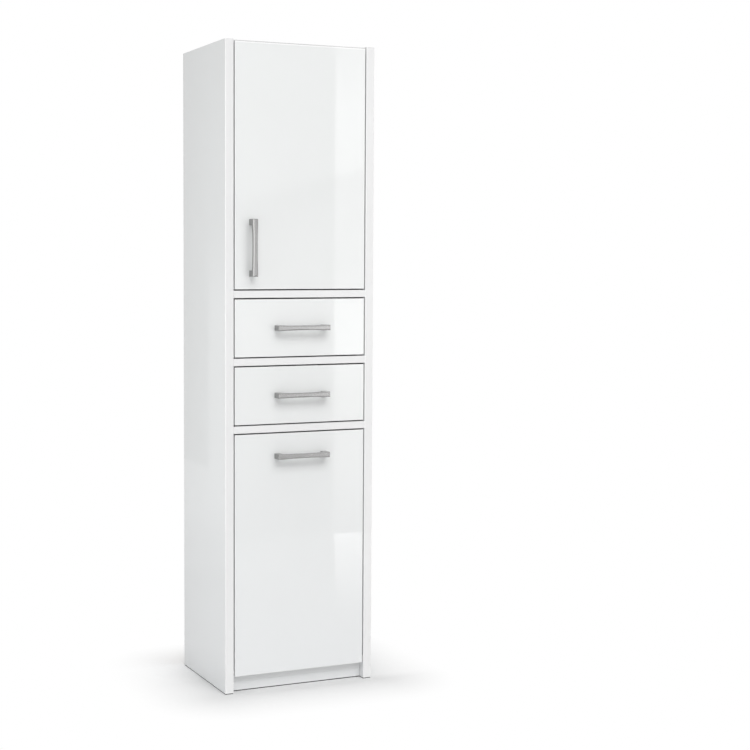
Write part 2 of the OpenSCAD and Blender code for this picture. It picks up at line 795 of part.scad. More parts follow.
// Drawer runner: an angle round the side's lower edge with a lip that rides on the wheels
module drawer_runners(z0) {
  web_z = lip_z + runner_t;
  foot = 10;
  hole_d = 5;
  hole_ys = [for (share = [0.12, 0.36, 0.6, 0.82]) front_t + share * box_l];
  color("gainsboro") in_frame() both_sides() translate([0, 0, box_z(z0)]) difference() {
    union() {
      translate([box_x - foot, front_t + slide, -runner_t]) cube([foot + runner_t, box_l - slide, runner_t]);
      translate([box_x, front_t + slide, -runner_t]) cube([runner_t, box_l - slide, web_z + runner_t]);
      translate([box_x, front_t + slide, lip_z]) cube([roller_w + runner_t, box_l - slide, runner_t]);
      translate([0, roller_rear_y, roller_z]) rod_x(axle_d, box_x, box_x + runner_t + roller_w + slide);
    }
    for (y = hole_ys) translate([0, y, lip_z - hole_d]) rod_x(hole_d, box_x - eps, box_x + runner_t + eps);
  }
}
axle_d = 5;

// Cabinet runner: a channel on the side, with a wheel at its front end
channel_low = roller_z - roller_d / 2 - slide;
channel_high = lip_z + runner_t + 1;
module cabinet_runners(z0) {
  depth = inner_x - roller_x + 0.5;
  y0 = front_t + 2;
  // The lower flange starts behind the wheel
  flange_y = roller_front_y + 0.7 * roller_d;
  color("gainsboro") in_frame() both_sides() translate([0, 0, box_z(z0)]) difference() {
    union() {
      translate([inner_x - runner_t, y0, channel_low - runner_t])
        cube([runner_t, box_l, channel_high - channel_low + 2 * runner_t]);
      translate([inner_x - depth + 1, flange_y, channel_low - runner_t])
        cube([depth - 1, y0 + box_l - flange_y, runner_t]);
      translate([inner_x - depth + 1, y0, channel_high]) cube([depth - 1, box_l, runner_t]);
      translate([0, roller_front_y, roller_z]) rod_x(axle_d, roller_x - slide / 2, inner_x);
    }
    for (y = runner_screw_ys) translate([0, y, roller_z])
      rod_x(screw_d + 0.5, inner_x - runner_t - eps, inner_x + eps);
  }
}

// Wheels, one on each side, on one axle line
module rollers(z0, y, x0) {
  color("white") in_frame() both_sides() translate([0, y, box_z(z0) + roller_z]) difference() {
    rod_x(roller_d, x0, x0 + roller_w);
    rod_x(axle_d + 2 * running, x0 - eps, x0 + roller_w + eps);
    // Shallow ring in the outer face
    difference() {
      rod_x(roller_d - 4, x0 + roller_w - 1, x0 + roller_w + eps);
      rod_x(axle_d + 4, x0, x0 + roller_w + 2 * eps);
    }
  }
}

module drawer_upper_front() { drawer_front(drawer_upper_z); }
module drawer_upper_side_right() { drawer_side(drawer_upper_z); }
module drawer_upper_side_left() { mirror([1, 0, 0]) drawer_side(drawer_upper_z); }
module drawer_upper_back() { drawer_back(drawer_upper_z); }
module drawer_upper_bottom() { drawer_bottom(drawer_upper_z); }
module drawer_upper_handle() { drawer_handle(drawer_upper_z); }
module drawer_upper_runners() { drawer_runners(drawer_upper_z); }
module drawer_upper_screws() { drawer_screws(drawer_upper_z); }
module cabinet_runners_upper() { cabinet_runners(drawer_upper_z); }
module front_rollers_upper() { rollers(drawer_upper_z, roller_front_y, roller_x); }
module rear_rollers_upper() { rollers(drawer_upper_z, roller_rear_y, roller_x); }
module drawer_lower_front() { drawer_front(drawer_lower_z); }
module drawer_lower_side_right() { drawer_side(drawer_lower_z); }
module drawer_lower_side_left() { mirror([1, 0, 0]) drawer_side(drawer_lower_z); }
module drawer_lower_back() { drawer_back(drawer_lower_z); }
module drawer_lower_bottom() { drawer_bottom(drawer_lower_z); }
module drawer_lower_handle() { drawer_handle(drawer_lower_z); }
module drawer_lower_runners() { drawer_runners(drawer_lower_z); }
module drawer_lower_screws() { drawer_screws(drawer_lower_z); }
module cabinet_runners_lower() { cabinet_runners(drawer_lower_z); }
module front_rollers_lower() { rollers(drawer_lower_z, roller_front_y, roller_x); }
module rear_rollers_lower() { rollers(drawer_lower_z, roller_rear_y, roller_x); }

// ---- Laundry front ----

pivot_in = 20;
flap_handle_z = flap_z + flap_h - flap_handle_down;

flap_screw_bite = 11;

module flap() {
  color("white") in_frame() difference() {
    translate([0, 0, flap_z]) panel(flap_h);
    translate([0, 0, flap_handle_z]) handle_bores();
    both_sides() translate([0, pivot_y, pivot_z])
      rod_x(pivot_d + 2 * fit, front_x - pivot_in, front_x + eps);
    for (p = concat(foot_screws, clip_screws)) translate([p.x, 0, p.y])
      rod_y(pilot(screw_d), front_t - flap_screw_bite - fit, front_t + eps);
  }
}
module flap_handle() { in_frame() translate([0, 0, flap_handle_z]) handle(); }

module flap_pivots() {
  color("silver") in_frame() both_sides() translate([0, pivot_y, pivot_z])
    rod_x(pivot_d, front_x - pivot_in + 1, inner_x + bush_l - 1.5);
}

// Flanged bushes in the sides
module pivot_bushes() {
  color("gainsboro") in_frame() both_sides() translate([0, pivot_y, pivot_z]) difference() {
    union() {
      rod_x(bush_d - 2 * fit, inner_x - 1, inner_x + bush_l - fit);
      rod_x(bush_d + 3, inner_x - 1, inner_x);
    }
    rod_x(pivot_d + 2 * running, inner_x - 1 - eps, inner_x + bush_l - 1);
  }
}

// The stay is a quadrant on the front's back, concentric with the pivot; its slot runs on a stud
stud_a = 8;
stay_x = inner_x - 7;
stay_band = stud_d + 10;
slot_w = stud_d + 2 * slide;
slot_play = 0.3;
stud_bite = 12;
foot_w = 18;
foot_h = 64;

// A point of the arc about the pivot, as depth and height; angles run from upright to the back
function on_arc(r, a) = [pivot_y + r * sin(a), pivot_z + r * cos(a)];
stud_at = on_arc(stay_r, stud_a);
foot_x = stay_x + stay_t - foot_w / 2;
foot_z = on_arc(stay_r, 0).y;
foot_screws = [for (s = [-1, 1]) [foot_x - 1, foot_z + s * (foot_h / 2 - 10)]];

module stay_plate() {
  a_end = stud_a + flap_open + 3;
  difference() {
    arc_2d(stay_r, stay_band, 0, a_end);
    arc_2d(stay_r, slot_w, stud_a - slot_play, stud_a + flap_open + slot_play);
    for (a = [stud_a - slot_play, stud_a + flap_open + slot_play])
      translate(on_arc(stay_r, a)) circle(d = slot_w);
    translate([front_t - stay_r, 0]) square([stay_r, body_h]);
  }
}

// A ring sector in the YZ plane, as an outline: angles from upright, towards the back
module arc_2d(r, w, a0, a1) {
  far = 2 * r;
  intersection() {
    translate([pivot_y, pivot_z]) difference() {
      circle(r = r + w / 2, $fn = 360);
      circle(r = r - w / 2, $fn = 360);
    }
    translate([pivot_y, pivot_z])
      polygon([[0, 0], far * [sin(a0), cos(a0)], far * [sin(a1), cos(a1)]]);
  }
}

module flap_stay() {
  color("dimgray") in_frame() {
    translate([stay_x, 0, 0]) rotate([90, 0, 90]) linear_extrude(stay_t) stay_plate();
    difference() {
      translate([foot_x - foot_w / 2, front_t, foot_z - foot_h / 2]) cube([foot_w, stay_t, foot_h]);
      for (p = foot_screws) translate([p.x, 0, p.y])
        rod_y(screw_d + 0.5, front_t - eps, front_t + stay_t + eps);
    }
  }
}

module stay_stud() {
  color("silver") in_frame() translate([0, stud_at.x, stud_at.y]) {
    rod_x(stud_d, stay_x - slide - 1, inner_x + stud_bite);
    rod_x(stud_d + 6, stay_x + stay_t + slide, inner_x);
    rod_x(stud_d + 6, stay_x - slide - 2, stay_x - slide);
  }
}

module flap_screws() {
  color("silver") in_frame() {
    translate([0, 0, flap_handle_z]) handle_screws();
    for (p = foot_screws) translate([p.x, front_t + stay_t, p.y])
      screw_y(stay_t + flap_screw_bite, screw_d, screw_head_d, 1.5);
    for (p = clip_screws) translate([p.x, front_t + clip_t, p.y])
      screw_y(clip_t + flap_screw_bite, screw_d, screw_head_d, 1.5);
  }
}

// ---- Wire basket ----

// Middle of the front wires, clear of the screw heads on the flap
basket_y = front_t + 6.5;
half_w = inner_x - basket_gap;
rim_z = flap_z + rim_up;
low_z = flap_z + basket_low;
hoop_slope = 0.18;
hoop_zs = [for (i = [0:hoops - 1]) low_z + i * hoop_step];
// Three points of the back's profile, as depth and height
rim_back = [basket_y + rim_depth, rim_z - rim_fall];
bend = [basket_y + bend_depth, flap_z + bend_up];
low_back = [basket_y + low_depth, low_z - hoop_slope * low_depth];
// Crossing wires lie side by side with a small weld overlap
weld = 0.3;
wire_step = wire_d - weld;
wall_slope = (bend.y - low_back.y) / (bend.x - low_back.x);
u_corner_r = 10;

// Depth of the back at a height, and height of its lower wall at a depth
function back_depth(z) = z > bend.y
  ? bend.x + (rim_back.x - bend.x) * (z - bend.y) / (rim_back.y - bend.y)
  : low_back.x + (z - low_back.y) / wall_slope;
function wall_height(y) = low_back.y + wall_slope * (y - low_back.x);
function rim_height(y) = rim_z - rim_fall * (y - basket_y) / rim_depth;

// Rear point of the hoop whose front is at z: where its fall meets the back
function hoop_rear(z, y = bend.x, n = 12) = n == 0
  ? [y, z - hoop_slope * (y - basket_y)]
  : hoop_rear(z, back_depth(z - hoop_slope * (y - basket_y)), n - 1);
function corner_r(rear) = min(hoop_r, 0.6 * (rear.x - basket_y));

// Depths of the wires that run down one side, under the basket and up the other
u_ys = [for (i = [0:side_wires - 1])
  basket_y + 2 * wire_d + i * (rim_depth - 2 * hoop_r - 2 * wire_d) / (side_wires - 1)];
u_x = half_w - wire_step;
function u_foot(y) = y < low_back.x
  ? low_z - hoop_slope * (y - basket_y) - wire_step
  : wall_height(y + wire_step) - wire_step * sqrt(1 + wall_slope * wall_slope);
// Places of the wires that run from the front to the back, kept off the sides
long_w = half_w - hoop_r - 2 * wire_d;
long_xs = [for (i = [0:back_wires - 1]) -long_w + i * 2 * long_w / (back_wires - 1)];

// A point a little past b on the line from a, so that crossing wires pass each other
function past(a, b) = b + wire_d * (b - a) / norm(b - a);

// A straight wire between two points
module wire(a, b, d = wire_d) {
  v = b - a;
  l = norm(v);
  translate(a) rotate([0, acos(v.z / l), atan2(v.y, v.x)]) cylinder(d = d, h = l, $fn = 24);
}

// A wire across the back, of half width w, whose ends turn to +Y with the radius r
module cross_wire(w, r) {
  translate([-w + r, 0, 0]) rotate([0, 90, 0]) cylinder(d = wire_d, h = 2 * (w - r), $fn = 24);
  both_sides() translate([w - r, 0, 0]) rotate([90, 0, 0]) rotate([0, 90, 0])
    translate([r, 0, 0]) rotate([90, 0, 0]) rotate(90)
      rotate_extrude(angle = 90, $fn = 72) translate([r, 0]) circle(d = wire_d, $fn = 24);
}

// Right side: the straight stretches of the hoops and the upright wires inside them
module basket_side() {
  for (z = hoop_zs) {
    rear = hoop_rear(z);
    run = norm([rear.x - basket_y, rear.y - z]);
    stop = rear - corner_r(rear) / run * [rear.x - basket_y, rear.y - z];
    wire([half_w, basket_y, z], [half_w, stop.x, stop.y]);
  }
  for (y = u_ys) wire([u_x, y, u_foot(y) + u_corner_r], [u_x, y, rim_height(y)]);
}
module basket_side_right() { color("white") in_frame() basket_side(); }
module basket_side_left() { color("white") in_frame() mirror([1, 0, 0]) basket_side(); }

// Back and underside: the hoops' rear stretches, the cross wires under the basket, and three
// panels of straight long wires, which meet at the lowest hoop and at the wire along the bend
module basket_back() {
  color("white") in_frame() {
    for (z = hoop_zs) {
      rear = hoop_rear(z);
      translate([0, rear.x, rear.y]) rotate([-atan(hoop_slope), 0, 0]) rotate([0, 0, 180])
        cross_wire(half_w, corner_r(rear));
    }
    for (y = u_ys) translate([0, y, u_foot(y)]) rotate([90, 0, 0]) cross_wire(u_x, u_corner_r);
    wire([-long_w - 3 * wire_d, bend.x, bend.y], [long_w + 3 * wire_d, bend.x, bend.y]);
    a = [0, basket_y + wire_step, low_z];
    b = [0, low_back.x - wire_step, low_back.y];
    c = [0, bend.x - wire_step, bend.y];
    d = [0, rim_back.x - wire_step, rim_back.y];
    beside = [1.1 * wire_d, 0, 0];
    for (x = long_xs) translate([x, 0, 0]) {
      wire(a, past(a, b));
      wire(past(c, b) + beside, past(b, c) + beside);
      wire(past(d, c), d);
    }
  }
}

module basket_front() {
  color("white") in_frame() {
    for (z = hoop_zs) wire([-half_w, basket_y, z], [half_w, basket_y, z]);
    for (x = long_xs) wire([x, basket_y + wire_step, low_z], [x, basket_y + wire_step, rim_z]);
  }
}

module basket_rim() {
  a = [half_w, basket_y, rim_z];
  b = [half_w, rim_back.x, rim_back.y];
  color("white") in_frame() {
    both_sides() {
      wire(a, b, rim_d);
      for (p = [a, b]) translate(p) sphere(d = rim_d, $fn = 24);
    }
    for (p = [a, b]) wire([-p.x, p.y, p.z], p, rim_d);
  }
}

// Clips on the flap: a base under a screw and a hook that grips a hoop's front wire
clip_t = 4;
clip_w = 14;
clip_hook = basket_y - front_t + wire_d;
clip_xs = [-90, 90];
clip_zs = [hoop_zs[0], hoop_zs[hoops - 1]];
clip_screws = [for (x = clip_xs) for (z = clip_zs) [x, z - 11]];
module basket_clips() {
  color("gainsboro") in_frame() for (x = clip_xs) for (z = clip_zs)
    translate([x - clip_w / 2, 0, z]) difference() {
      union() {
        translate([0, front_t, -17]) cube([clip_w, clip_t, 21]);
        translate([0, front_t, -4]) cube([clip_w, clip_hook, 8]);
      }
      translate([0, basket_y, 0]) rod_x(wire_d + 2 * fit, -eps, clip_w + eps);
      translate([-eps, basket_y - wire_d / 2 + 0.3, 0]) cube([clip_w + 1, wire_d - 0.6, 5]);
      translate([clip_w / 2, 0, -11]) rod_y(screw_d + 0.5, front_t - eps, front_t + clip_t + eps);
    }
}

side_left();
side_right();
top_panel();
divider_upper();
divider_middle();
divider_lower();
bottom_panel();
plinth();
back_panel();
shelf();
shelf_pins();
glides();
cam_discs();
cam_bolts();
dowels();
wall_bracket();
carcass_screws();
hinge_plates();
hinge_arms();
cabinet_runners_upper();
cabinet_runners_lower();
stay_stud();
pivot_bushes();
front_rollers_upper();
front_rollers_lower();
door();
door_handle();
hinge_cups();
door_screws();
hinge_link_upper();
hinge_link_lower();
drawer_upper_front();
drawer_upper_side_left();
drawer_upper_side_right();
drawer_upper_back();
drawer_upper_bottom();
drawer_upper_handle();
drawer_upper_runners();
drawer_upper_screws();
rear_rollers_upper();
drawer_lower_front();
drawer_lower_side_left();
drawer_lower_side_right();
drawer_lower_back();
drawer_lower_bottom();
drawer_lower_handle();
drawer_lower_runners();
drawer_lower_screws();
rear_rollers_lower();
flap();
flap_handle();
flap_pivots();
flap_stay();
flap_screws();
basket_clips();
basket_rim();
basket_side_left();
basket_side_right();
basket_back();
basket_front();
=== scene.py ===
"""Tall bathroom tower in high-gloss white: the looks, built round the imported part.

Lengths in the building code are millimetres in the fronts' frame: X across, Y from the plane of
the closed fronts towards the wall, Z up from the floor. Materials, floor, cards and lights use the
model's own metres, whose Y starts at the middle of the overall depth.
"""
import json
import math

import bmesh
import bpy
from mathutils import Matrix, Vector


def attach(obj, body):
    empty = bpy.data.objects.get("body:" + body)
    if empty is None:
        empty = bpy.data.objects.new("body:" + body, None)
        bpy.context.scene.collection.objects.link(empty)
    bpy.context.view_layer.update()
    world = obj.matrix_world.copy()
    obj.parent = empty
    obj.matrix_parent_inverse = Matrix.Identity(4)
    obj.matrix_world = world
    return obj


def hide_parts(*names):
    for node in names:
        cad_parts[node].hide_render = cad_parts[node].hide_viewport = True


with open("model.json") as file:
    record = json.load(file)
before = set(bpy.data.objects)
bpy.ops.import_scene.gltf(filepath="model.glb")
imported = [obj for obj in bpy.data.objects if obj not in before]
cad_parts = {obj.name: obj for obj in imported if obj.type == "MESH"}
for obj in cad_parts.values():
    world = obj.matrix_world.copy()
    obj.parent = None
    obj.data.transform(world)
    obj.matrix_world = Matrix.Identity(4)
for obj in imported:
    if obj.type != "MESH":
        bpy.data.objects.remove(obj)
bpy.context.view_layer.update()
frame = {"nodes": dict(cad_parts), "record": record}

NODES = frame["nodes"]
SLOT_OF = {row["node"]: row["material_slot"] for row in frame["record"]["subparts"]}
BODY_OF = {n: body for body, members in frame["record"]["behaviour"]["bodies"].items() for n in members}

# The part's own sizes in millimetres, repeated from its source
FRONT_PLANE = -136.0                # where the closed fronts' faces lie in the model
SIDE_IN, SIDE_OUT = 178.0, 200.0    # faces of the sides, from the middle
DEPTH, HEIGHT = 300.0, 1600.0
FRONT_HALF, FRONT_T = 175.0, 18.0
BACK_Y, BACK_T = 285.0, 3.0
HANDLE_PITCH, HANDLE_FOOT = 125.0, 15.0
BAR_W, WAIST_W, BAR_T, REACH = 13.0, 11.0, 10.0, 28.0
HINGE_ZS = (1506.0, 1090.0)
DRAWER_ZS = (666.0, 832.0)
RUNNER_UP, WHEEL_UP = 14.0, 4.5     # runners over a drawer front's lower edge, wheels over the runners
FLAP_Z = 42.0
DOOR_TOP = 1598.0
# Lower and upper edges of the laundry front and the drawer fronts, and the door's lower edge
FRONT_EDGES = (42.0, 642.0, 666.0, 808.0, 832.0, 974.0, 998.0)


def metres(point):
    """A point of the fronts' frame, in the model's metres."""
    x, y, z = point
    return Vector((x, y + FRONT_PLANE, z)) / 1000


# ---- Materials ----


class Value:
    """A shader socket that takes part in Python arithmetic."""

    def __init__(self, graph, socket):
        self.graph, self.socket = graph, socket

    def _maths(self, operation, a, b):
        node = self.graph.node("ShaderNodeMath", {"operation": operation}, {0: a, 1: b})
        return Value(self.graph, node.outputs[0])

    def __add__(self, other): return self._maths("ADD", self, other)
    def __radd__(self, other): return self._maths("ADD", other, self)
    def __sub__(self, other): return self._maths("SUBTRACT", self, other)
    def __rsub__(self, other): return self._maths("SUBTRACT", other, self)
    def __mul__(self, other): return self._maths("MULTIPLY", self, other)
    def __rmul__(self, other): return self._maths("MULTIPLY", other, self)
    def __truediv__(self, other): return self._maths("DIVIDE", self, other)
    def __pow__(self, other): return self._maths("POWER", self, other)
    def __abs__(self): return self._maths("ABSOLUTE", self, 0.0)
    def sine(self): return self._maths("SINE", self, 0.0)
    def __gt__(self, other): return self._maths("GREATER_THAN", self, other)
    def __lt__(self, other): return self._maths("LESS_THAN", self, other)
    def least(self, other): return self._maths("MINIMUM", self, other)
    def most(self, other): return self._maths("MAXIMUM", self, other)


class Graph:
    """The nodes of a material or a world, made by one method."""

    def __init__(self, owner):
        owner.use_nodes = True
        self.tree = owner.node_tree
        self.tree.nodes.clear()

    def join(self, a, b):
        self.tree.links.new(a, b)

    def node(self, kind, settings=None, sockets=None):
        made = self.tree.nodes.new(kind)
        for key, value in (settings or {}).items():
            if key == "stops":
                ramp = made.color_ramp.elements
                while len(ramp) < len(value):
                    ramp.new(0.5)
                for stop, (where, shade) in zip(ramp, value):
                    stop.position, stop.color = where, shade
            else:
                setattr(made, key, value)
        for key, value in (sockets or {}).items():
            if isinstance(value, Value):
                self.join(value.socket, made.inputs[key])
            else:
                made.inputs[key].default_value = value
        return made

    def white_rays(self):
        """1 for the rays that show the white surround: camera, glossy and transmission rays."""
        path = self.node("ShaderNodeLightPath")
        camera, glossy, through = (Value(self, path.outputs["Is %s Ray" % kind])
                                   for kind in ("Camera", "Glossy", "Transmission"))
        return camera.most(glossy).most(through)


class Finish(Graph):
    """A material with one principled shader."""

    def __init__(self, name):
        self.material = bpy.data.materials.new(name)
        super().__init__(self.material)
        self.shader = self.node("ShaderNodeBsdfPrincipled")
        self.output = self.node("ShaderNodeOutputMaterial")
        self.surface(self.shader)
        self.place = None

    def surface(self, shader):
        self.join(shader.outputs[0], self.output.inputs["Surface"])

    def mixed_shaders(self, factor, low, high):
        return self.node("ShaderNodeMixShader", None, {
            0: factor, 1: Value(self, low.outputs[0]), 2: Value(self, high.outputs[0])})

    def set(self, **sockets):
        """Sets the shader's sockets by name, with an underscore for each space."""
        for key, value in sockets.items():
            socket = self.shader.inputs[key.replace("_", " ")]
            if isinstance(value, Value):
                self.join(value.socket, socket)
            else:
                socket.default_value = value
        return self

    def where(self):
        if self.place is None:
            self.place = Value(self, self.node("ShaderNodeTexCoord").outputs["Object"])
        return self.place

    def axes(self):
        """The object coordinates as three values, in metres."""
        parts = self.node("ShaderNodeSeparateXYZ", None, {0: self.where()})
        return [Value(self, parts.outputs[i]) for i in range(3)]

    def noise(self, scale, detail=2.0, stretch=(1, 1, 1), shift=(0, 0, 0), rough=0.5):
        placed = self.node("ShaderNodeMapping", None, {
            "Vector": self.where(), "Scale": stretch, "Location": shift})
        made = self.node("ShaderNodeTexNoise", None, {
            "Vector": Value(self, placed.outputs[0]), "Scale": scale, "Detail": detail, "Roughness": rough})
        return Value(self, made.outputs[0])

    def specks(self, scale):
        """One level for each crystal of a spangled surface."""
        cells = self.node("ShaderNodeTexVoronoi", None, {"Vector": self.where(), "Scale": scale})
        parts = self.node("ShaderNodeSeparateColor", None, {0: Value(self, cells.outputs["Color"])})
        return Value(self, parts.outputs[0])

    def blend(self, factor, low, high):
        """A colour that goes from low to high as the factor goes from 0 to 1."""
        mixed = self.node("ShaderNodeMix", {"data_type": "RGBA"}, {0: factor, 6: low, 7: high})
        return Value(self, mixed.outputs[2])

    def ramp(self, factor, *stops):
        made = self.node("ShaderNodeValToRGB", {"stops": stops}, {0: factor})
        return Value(self, made.outputs[0])

    def bump(self, height, distance, strength):
        """A normal from a height of 0 to 1, where 1 stands for a distance in metres."""
        made = self.node("ShaderNodeBump", None, {
            "Height": height, "Distance": distance, "Strength": strength})
        return Value(self, made.outputs[0])


def grey(level, warmth=0.0):
    """A grey whose red is raised, and blue lowered, by the share of its warmth."""
    return (level * (1 + warmth), level, level * (1 - warmth), 1.0)


# Millimetres: width of the painted highlight lines along the fronts' edges and the sides' corners, and how
# far the painted highlight line along the door's upper edge and the painted shadow over it reach down
EDGE_LINE, CORNER_LINE = 1.6, 2.0
TOP_LINE, TOP_SHADOW = 5.0, 2.4


def facing_room(y):
    """1 on the faces in the plane of the fronts and on their rounded edges."""
    return y < (FRONT_PLANE + 0.9) / 1000


def across_front(x):
    return abs(x) < (FRONT_HALF + 0.5) / 1000


def painted_edge_highlights(x, y, z):
    """1 along the edges of the fronts and along the sides' front corners, where highlights are painted, 0
    elsewhere.
    """
    line = abs(x) > (FRONT_HALF - EDGE_LINE) / 1000
    for level in FRONT_EDGES:
        line = line.most(abs(z - level / 1000) < EDGE_LINE / 1000)
    line = line.most((z > (DOOR_TOP - TOP_LINE) / 1000) * (z < (DOOR_TOP - TOP_SHADOW) / 1000))
    left_corner = x < -(SIDE_OUT - CORNER_LINE) / 1000
    right_corner = (x > SIDE_IN / 1000) * (x < (SIDE_IN + CORNER_LINE) / 1000)
    return (line * across_front(x)).most(left_corner.most(right_corner)) * facing_room(y)


def lacquer():
    """High-gloss lacquer: even white, a faint orange peel, painted highlights along the edges, faint wiping
    marks.
    """
    f = Finish("gloss_white_lacquer")
    cloud = f.noise(6.0, 3.0)
    peel = f.noise(420.0, 1.0)
    wipes = f.noise(55.0, 4.0, stretch=(1.0, 1.0, 0.12), shift=(0.3, 0.1, 0.7))
    colour = f.blend(cloud, (0.848, 0.86, 0.855, 1), (0.866, 0.878, 0.874, 1))
    x, y, z = f.axes()
    low = f.blend(cloud, (0.868, 0.879, 0.884, 1), (0.884, 0.896, 0.902, 1))
    # The room's light makes the white a little lighter and cooler towards the floor
    lowness = (1.0 - z / 0.75).most(0.0)
    colour = f.blend(lowness, colour, low)
    # The edge bands in the plane of the fronts keep their own grey, and painted light makes them lighter
    # towards the floor
    edge_band = facing_room(y) * (abs(x) > SIDE_IN / 1000)
    band_with_painted_light = f.ramp(z / (HEIGHT / 1000), (0.0, grey(0.91)), (0.12, grey(0.87)), (0.5, grey(0.81)),
                  (1.0, grey(0.815)))
    colour = f.blend(edge_band, colour, band_with_painted_light)
    # Painted highlights: lighter lines along the fronts' edges, the sides' front corners and under the door's
    # upper edge
    colour = f.blend(painted_edge_highlights(x, y, z), colour, grey(0.95))
    top_shadow = (z > (DOOR_TOP - TOP_SHADOW) / 1000) * across_front(x) * facing_room(y)
    colour = f.blend(top_shadow, colour, grey(0.62))
    return f.set(Base_Color=colour, Roughness=0.022 + 0.03 * (wipes - 0.45).most(0.0) + 0.3 * edge_band,
                 Coat_Weight=0.2, Coat_Roughness=0.02, IOR=1.5,
                 Normal=f.bump(peel, 0.00002, 0.1))


def board_face():
    """White faced board, silk: pearl pores and a slight unevenness of its gloss."""
    f = Finish("white_board_silk")
    pores = f.noise(1500.0, 2.0, rough=0.6)
    cloud = f.noise(9.0, 2.0)
    colour = f.blend(cloud, (0.85, 0.858, 0.86, 1), (0.868, 0.876, 0.88, 1))
    # The edge bands that face the room are a little greyer and less smooth
    front = facing_room(f.axes()[1])
    colour = f.blend(front, colour, grey(0.84))
    return f.set(Base_Color=colour, Roughness=0.22 + 0.1 * pores + 0.1 * front, IOR=1.47,
                 Normal=f.bump(pores, 0.00004, 0.15))


def thin_back():
    """Thin fibreboard: white foil towards the room, bare pressed fibres towards the wall."""
    f = Finish("fibreboard_back")
    x, y, z = f.axes()
    rear = y > (BACK_Y + BACK_T / 2 + FRONT_PLANE) / 1000
    fibres = f.noise(900.0, 5.0, rough=0.7)
    strands = f.noise(160.0, 6.0, stretch=(1.0, 1.0, 2.6), rough=0.65)
    wood = f.ramp(0.5 * fibres + 0.5 * strands, (0.3, (0.23, 0.135, 0.07, 1)), (0.5, (0.36, 0.225, 0.125, 1)),
                  (0.7, (0.47, 0.32, 0.19, 1)))
    white = f.blend(f.noise(9.0), grey(0.82), grey(0.85))
    # The press's screen leaves its weave of about 2 mm in the bare side
    screen = (x * 3300.0).sine() * (z * 3300.0).sine() * rear
    return f.set(Base_Color=f.blend(rear, white, wood), Roughness=0.3 + 0.45 * rear,
                 Normal=f.bump(0.5 * screen + fibres * rear, 0.0001, 0.5))


def satin_nickel(name, stretch):
    """Satin nickel: fine brushing along the bar, with a soft, slightly uneven sheen."""
    f = Finish(name)
    brush = f.noise(700.0, 4.0, stretch=stretch, rough=0.7)
    cloud = f.noise(40.0, 3.0)
    colour = f.blend(brush, grey(0.29, 0.004), grey(0.37, 0.006))
    return f.set(Base_Color=colour, Metallic=1.0, Roughness=0.20 + 0.08 * brush + 0.04 * cloud,
                 Normal=f.bump(brush, 0.00002, 0.3))


def dark_nickel():
    """Bright nickel plate on pressed steel, seen dark: smooth with small tool marks."""
    f = Finish("dark_nickel_plate")
    marks = f.noise(260.0, 5.0, stretch=(1.0, 0.25, 1.0), rough=0.6)
    colour = f.blend(marks, grey(0.25, 0.01), grey(0.4, 0.015))
    return f.set(Base_Color=colour, Metallic=1.0, Roughness=0.17 + 0.2 * marks,
                 Normal=f.bump(marks, 0.00003, 0.35))


def zinc():
    """Zinc-plated steel: small spangle and a faint yellow-blue passivation."""
    f = Finish("zinc_plate")
    spangle = f.specks(650.0)
    film = f.noise(90.0, 2.0)
    colour = f.blend(film, (0.58, 0.6, 0.64, 1), (0.68, 0.665, 0.62, 1))
    return f.set(Base_Color=colour, Metallic=1.0, Roughness=0.24 + 0.14 * spangle,
                 Normal=f.bump(f.noise(900.0, 3.0), 0.00003, 0.3))


def epoxy(name, level, rough):
    """White epoxy powder coat on steel: a soft orange peel."""
    f = Finish(name)
    peel = f.noise(700.0, 2.0)
    cloud = f.noise(30.0, 2.0)
    colour = f.blend(cloud, grey(level, 0.002), grey(level + 0.02, 0.004))
    return f.set(Base_Color=colour, Roughness=rough + 0.1 * peel, IOR=1.5,
                 Normal=f.bump(peel, 0.00006, 0.4))


def moulded_plastic():
    """Moulded white nylon: slightly waxy, with a fine eroded grain."""
    f = Finish("moulded_nylon")
    grain = f.noise(1800.0, 3.0, rough=0.7)
    colour = f.blend(f.noise(60.0), grey(0.8, 0.01), grey(0.84, 0.014))
    return f.set(Base_Color=colour, Roughness=0.36 + 0.14 * grain, IOR=1.53,
                 Subsurface_Weight=0.08, Subsurface_Radius=(0.002, 0.002, 0.0018), Subsurface_Scale=0.5,
                 Normal=f.bump(grain, 0.00004, 0.4))


def beech():
    """Plain beech dowel: short flecks along the grain."""
    f = Finish("beech_dowel")
    flecks = f.noise(900.0, 4.0, stretch=(0.08, 1.0, 1.0), rough=0.7)
    rings = f.noise(240.0, 3.0, stretch=(0.05, 1.0, 1.0), shift=(0.2, 0.4, 0.1))
    colour = f.ramp(0.6 * rings + 0.4 * flecks, (0.3, (0.45, 0.27, 0.14, 1)), (0.55, (0.62, 0.42, 0.25, 1)),
                    (0.75, (0.7, 0.51, 0.33, 1)))
    return f.set(Base_Color=colour, Roughness=0.55 + 0.15 * flecks, Normal=f.bump(flecks, 0.00008, 0.6))


FINISHES = {
    "gloss_white": lacquer(), "white_board": board_face(), "white_panel": thin_back(),
    "satin_nickel": satin_nickel("satin_nickel_plate", (0.05, 1.0, 1.0)),
    "dark_nickel": dark_nickel(), "zinc_steel": zinc(),
    "white_metal": epoxy("white_epoxy_steel", 0.83, 0.25), "white_wire": epoxy("white_epoxy_wire", 0.87, 0.2),
    "white_plastic": moulded_plastic(), "beech": beech(),
}
# The door's upright handle is brushed along Z
UPRIGHT_NICKEL = satin_nickel("satin_nickel_plate_upright", (1.0, 1.0, 0.05))

for name, node in NODES.items():
    node.data.materials.clear()
    node.data.materials.append(FINISHES[SLOT_OF[name]].material)


# ---- Making pieces ----


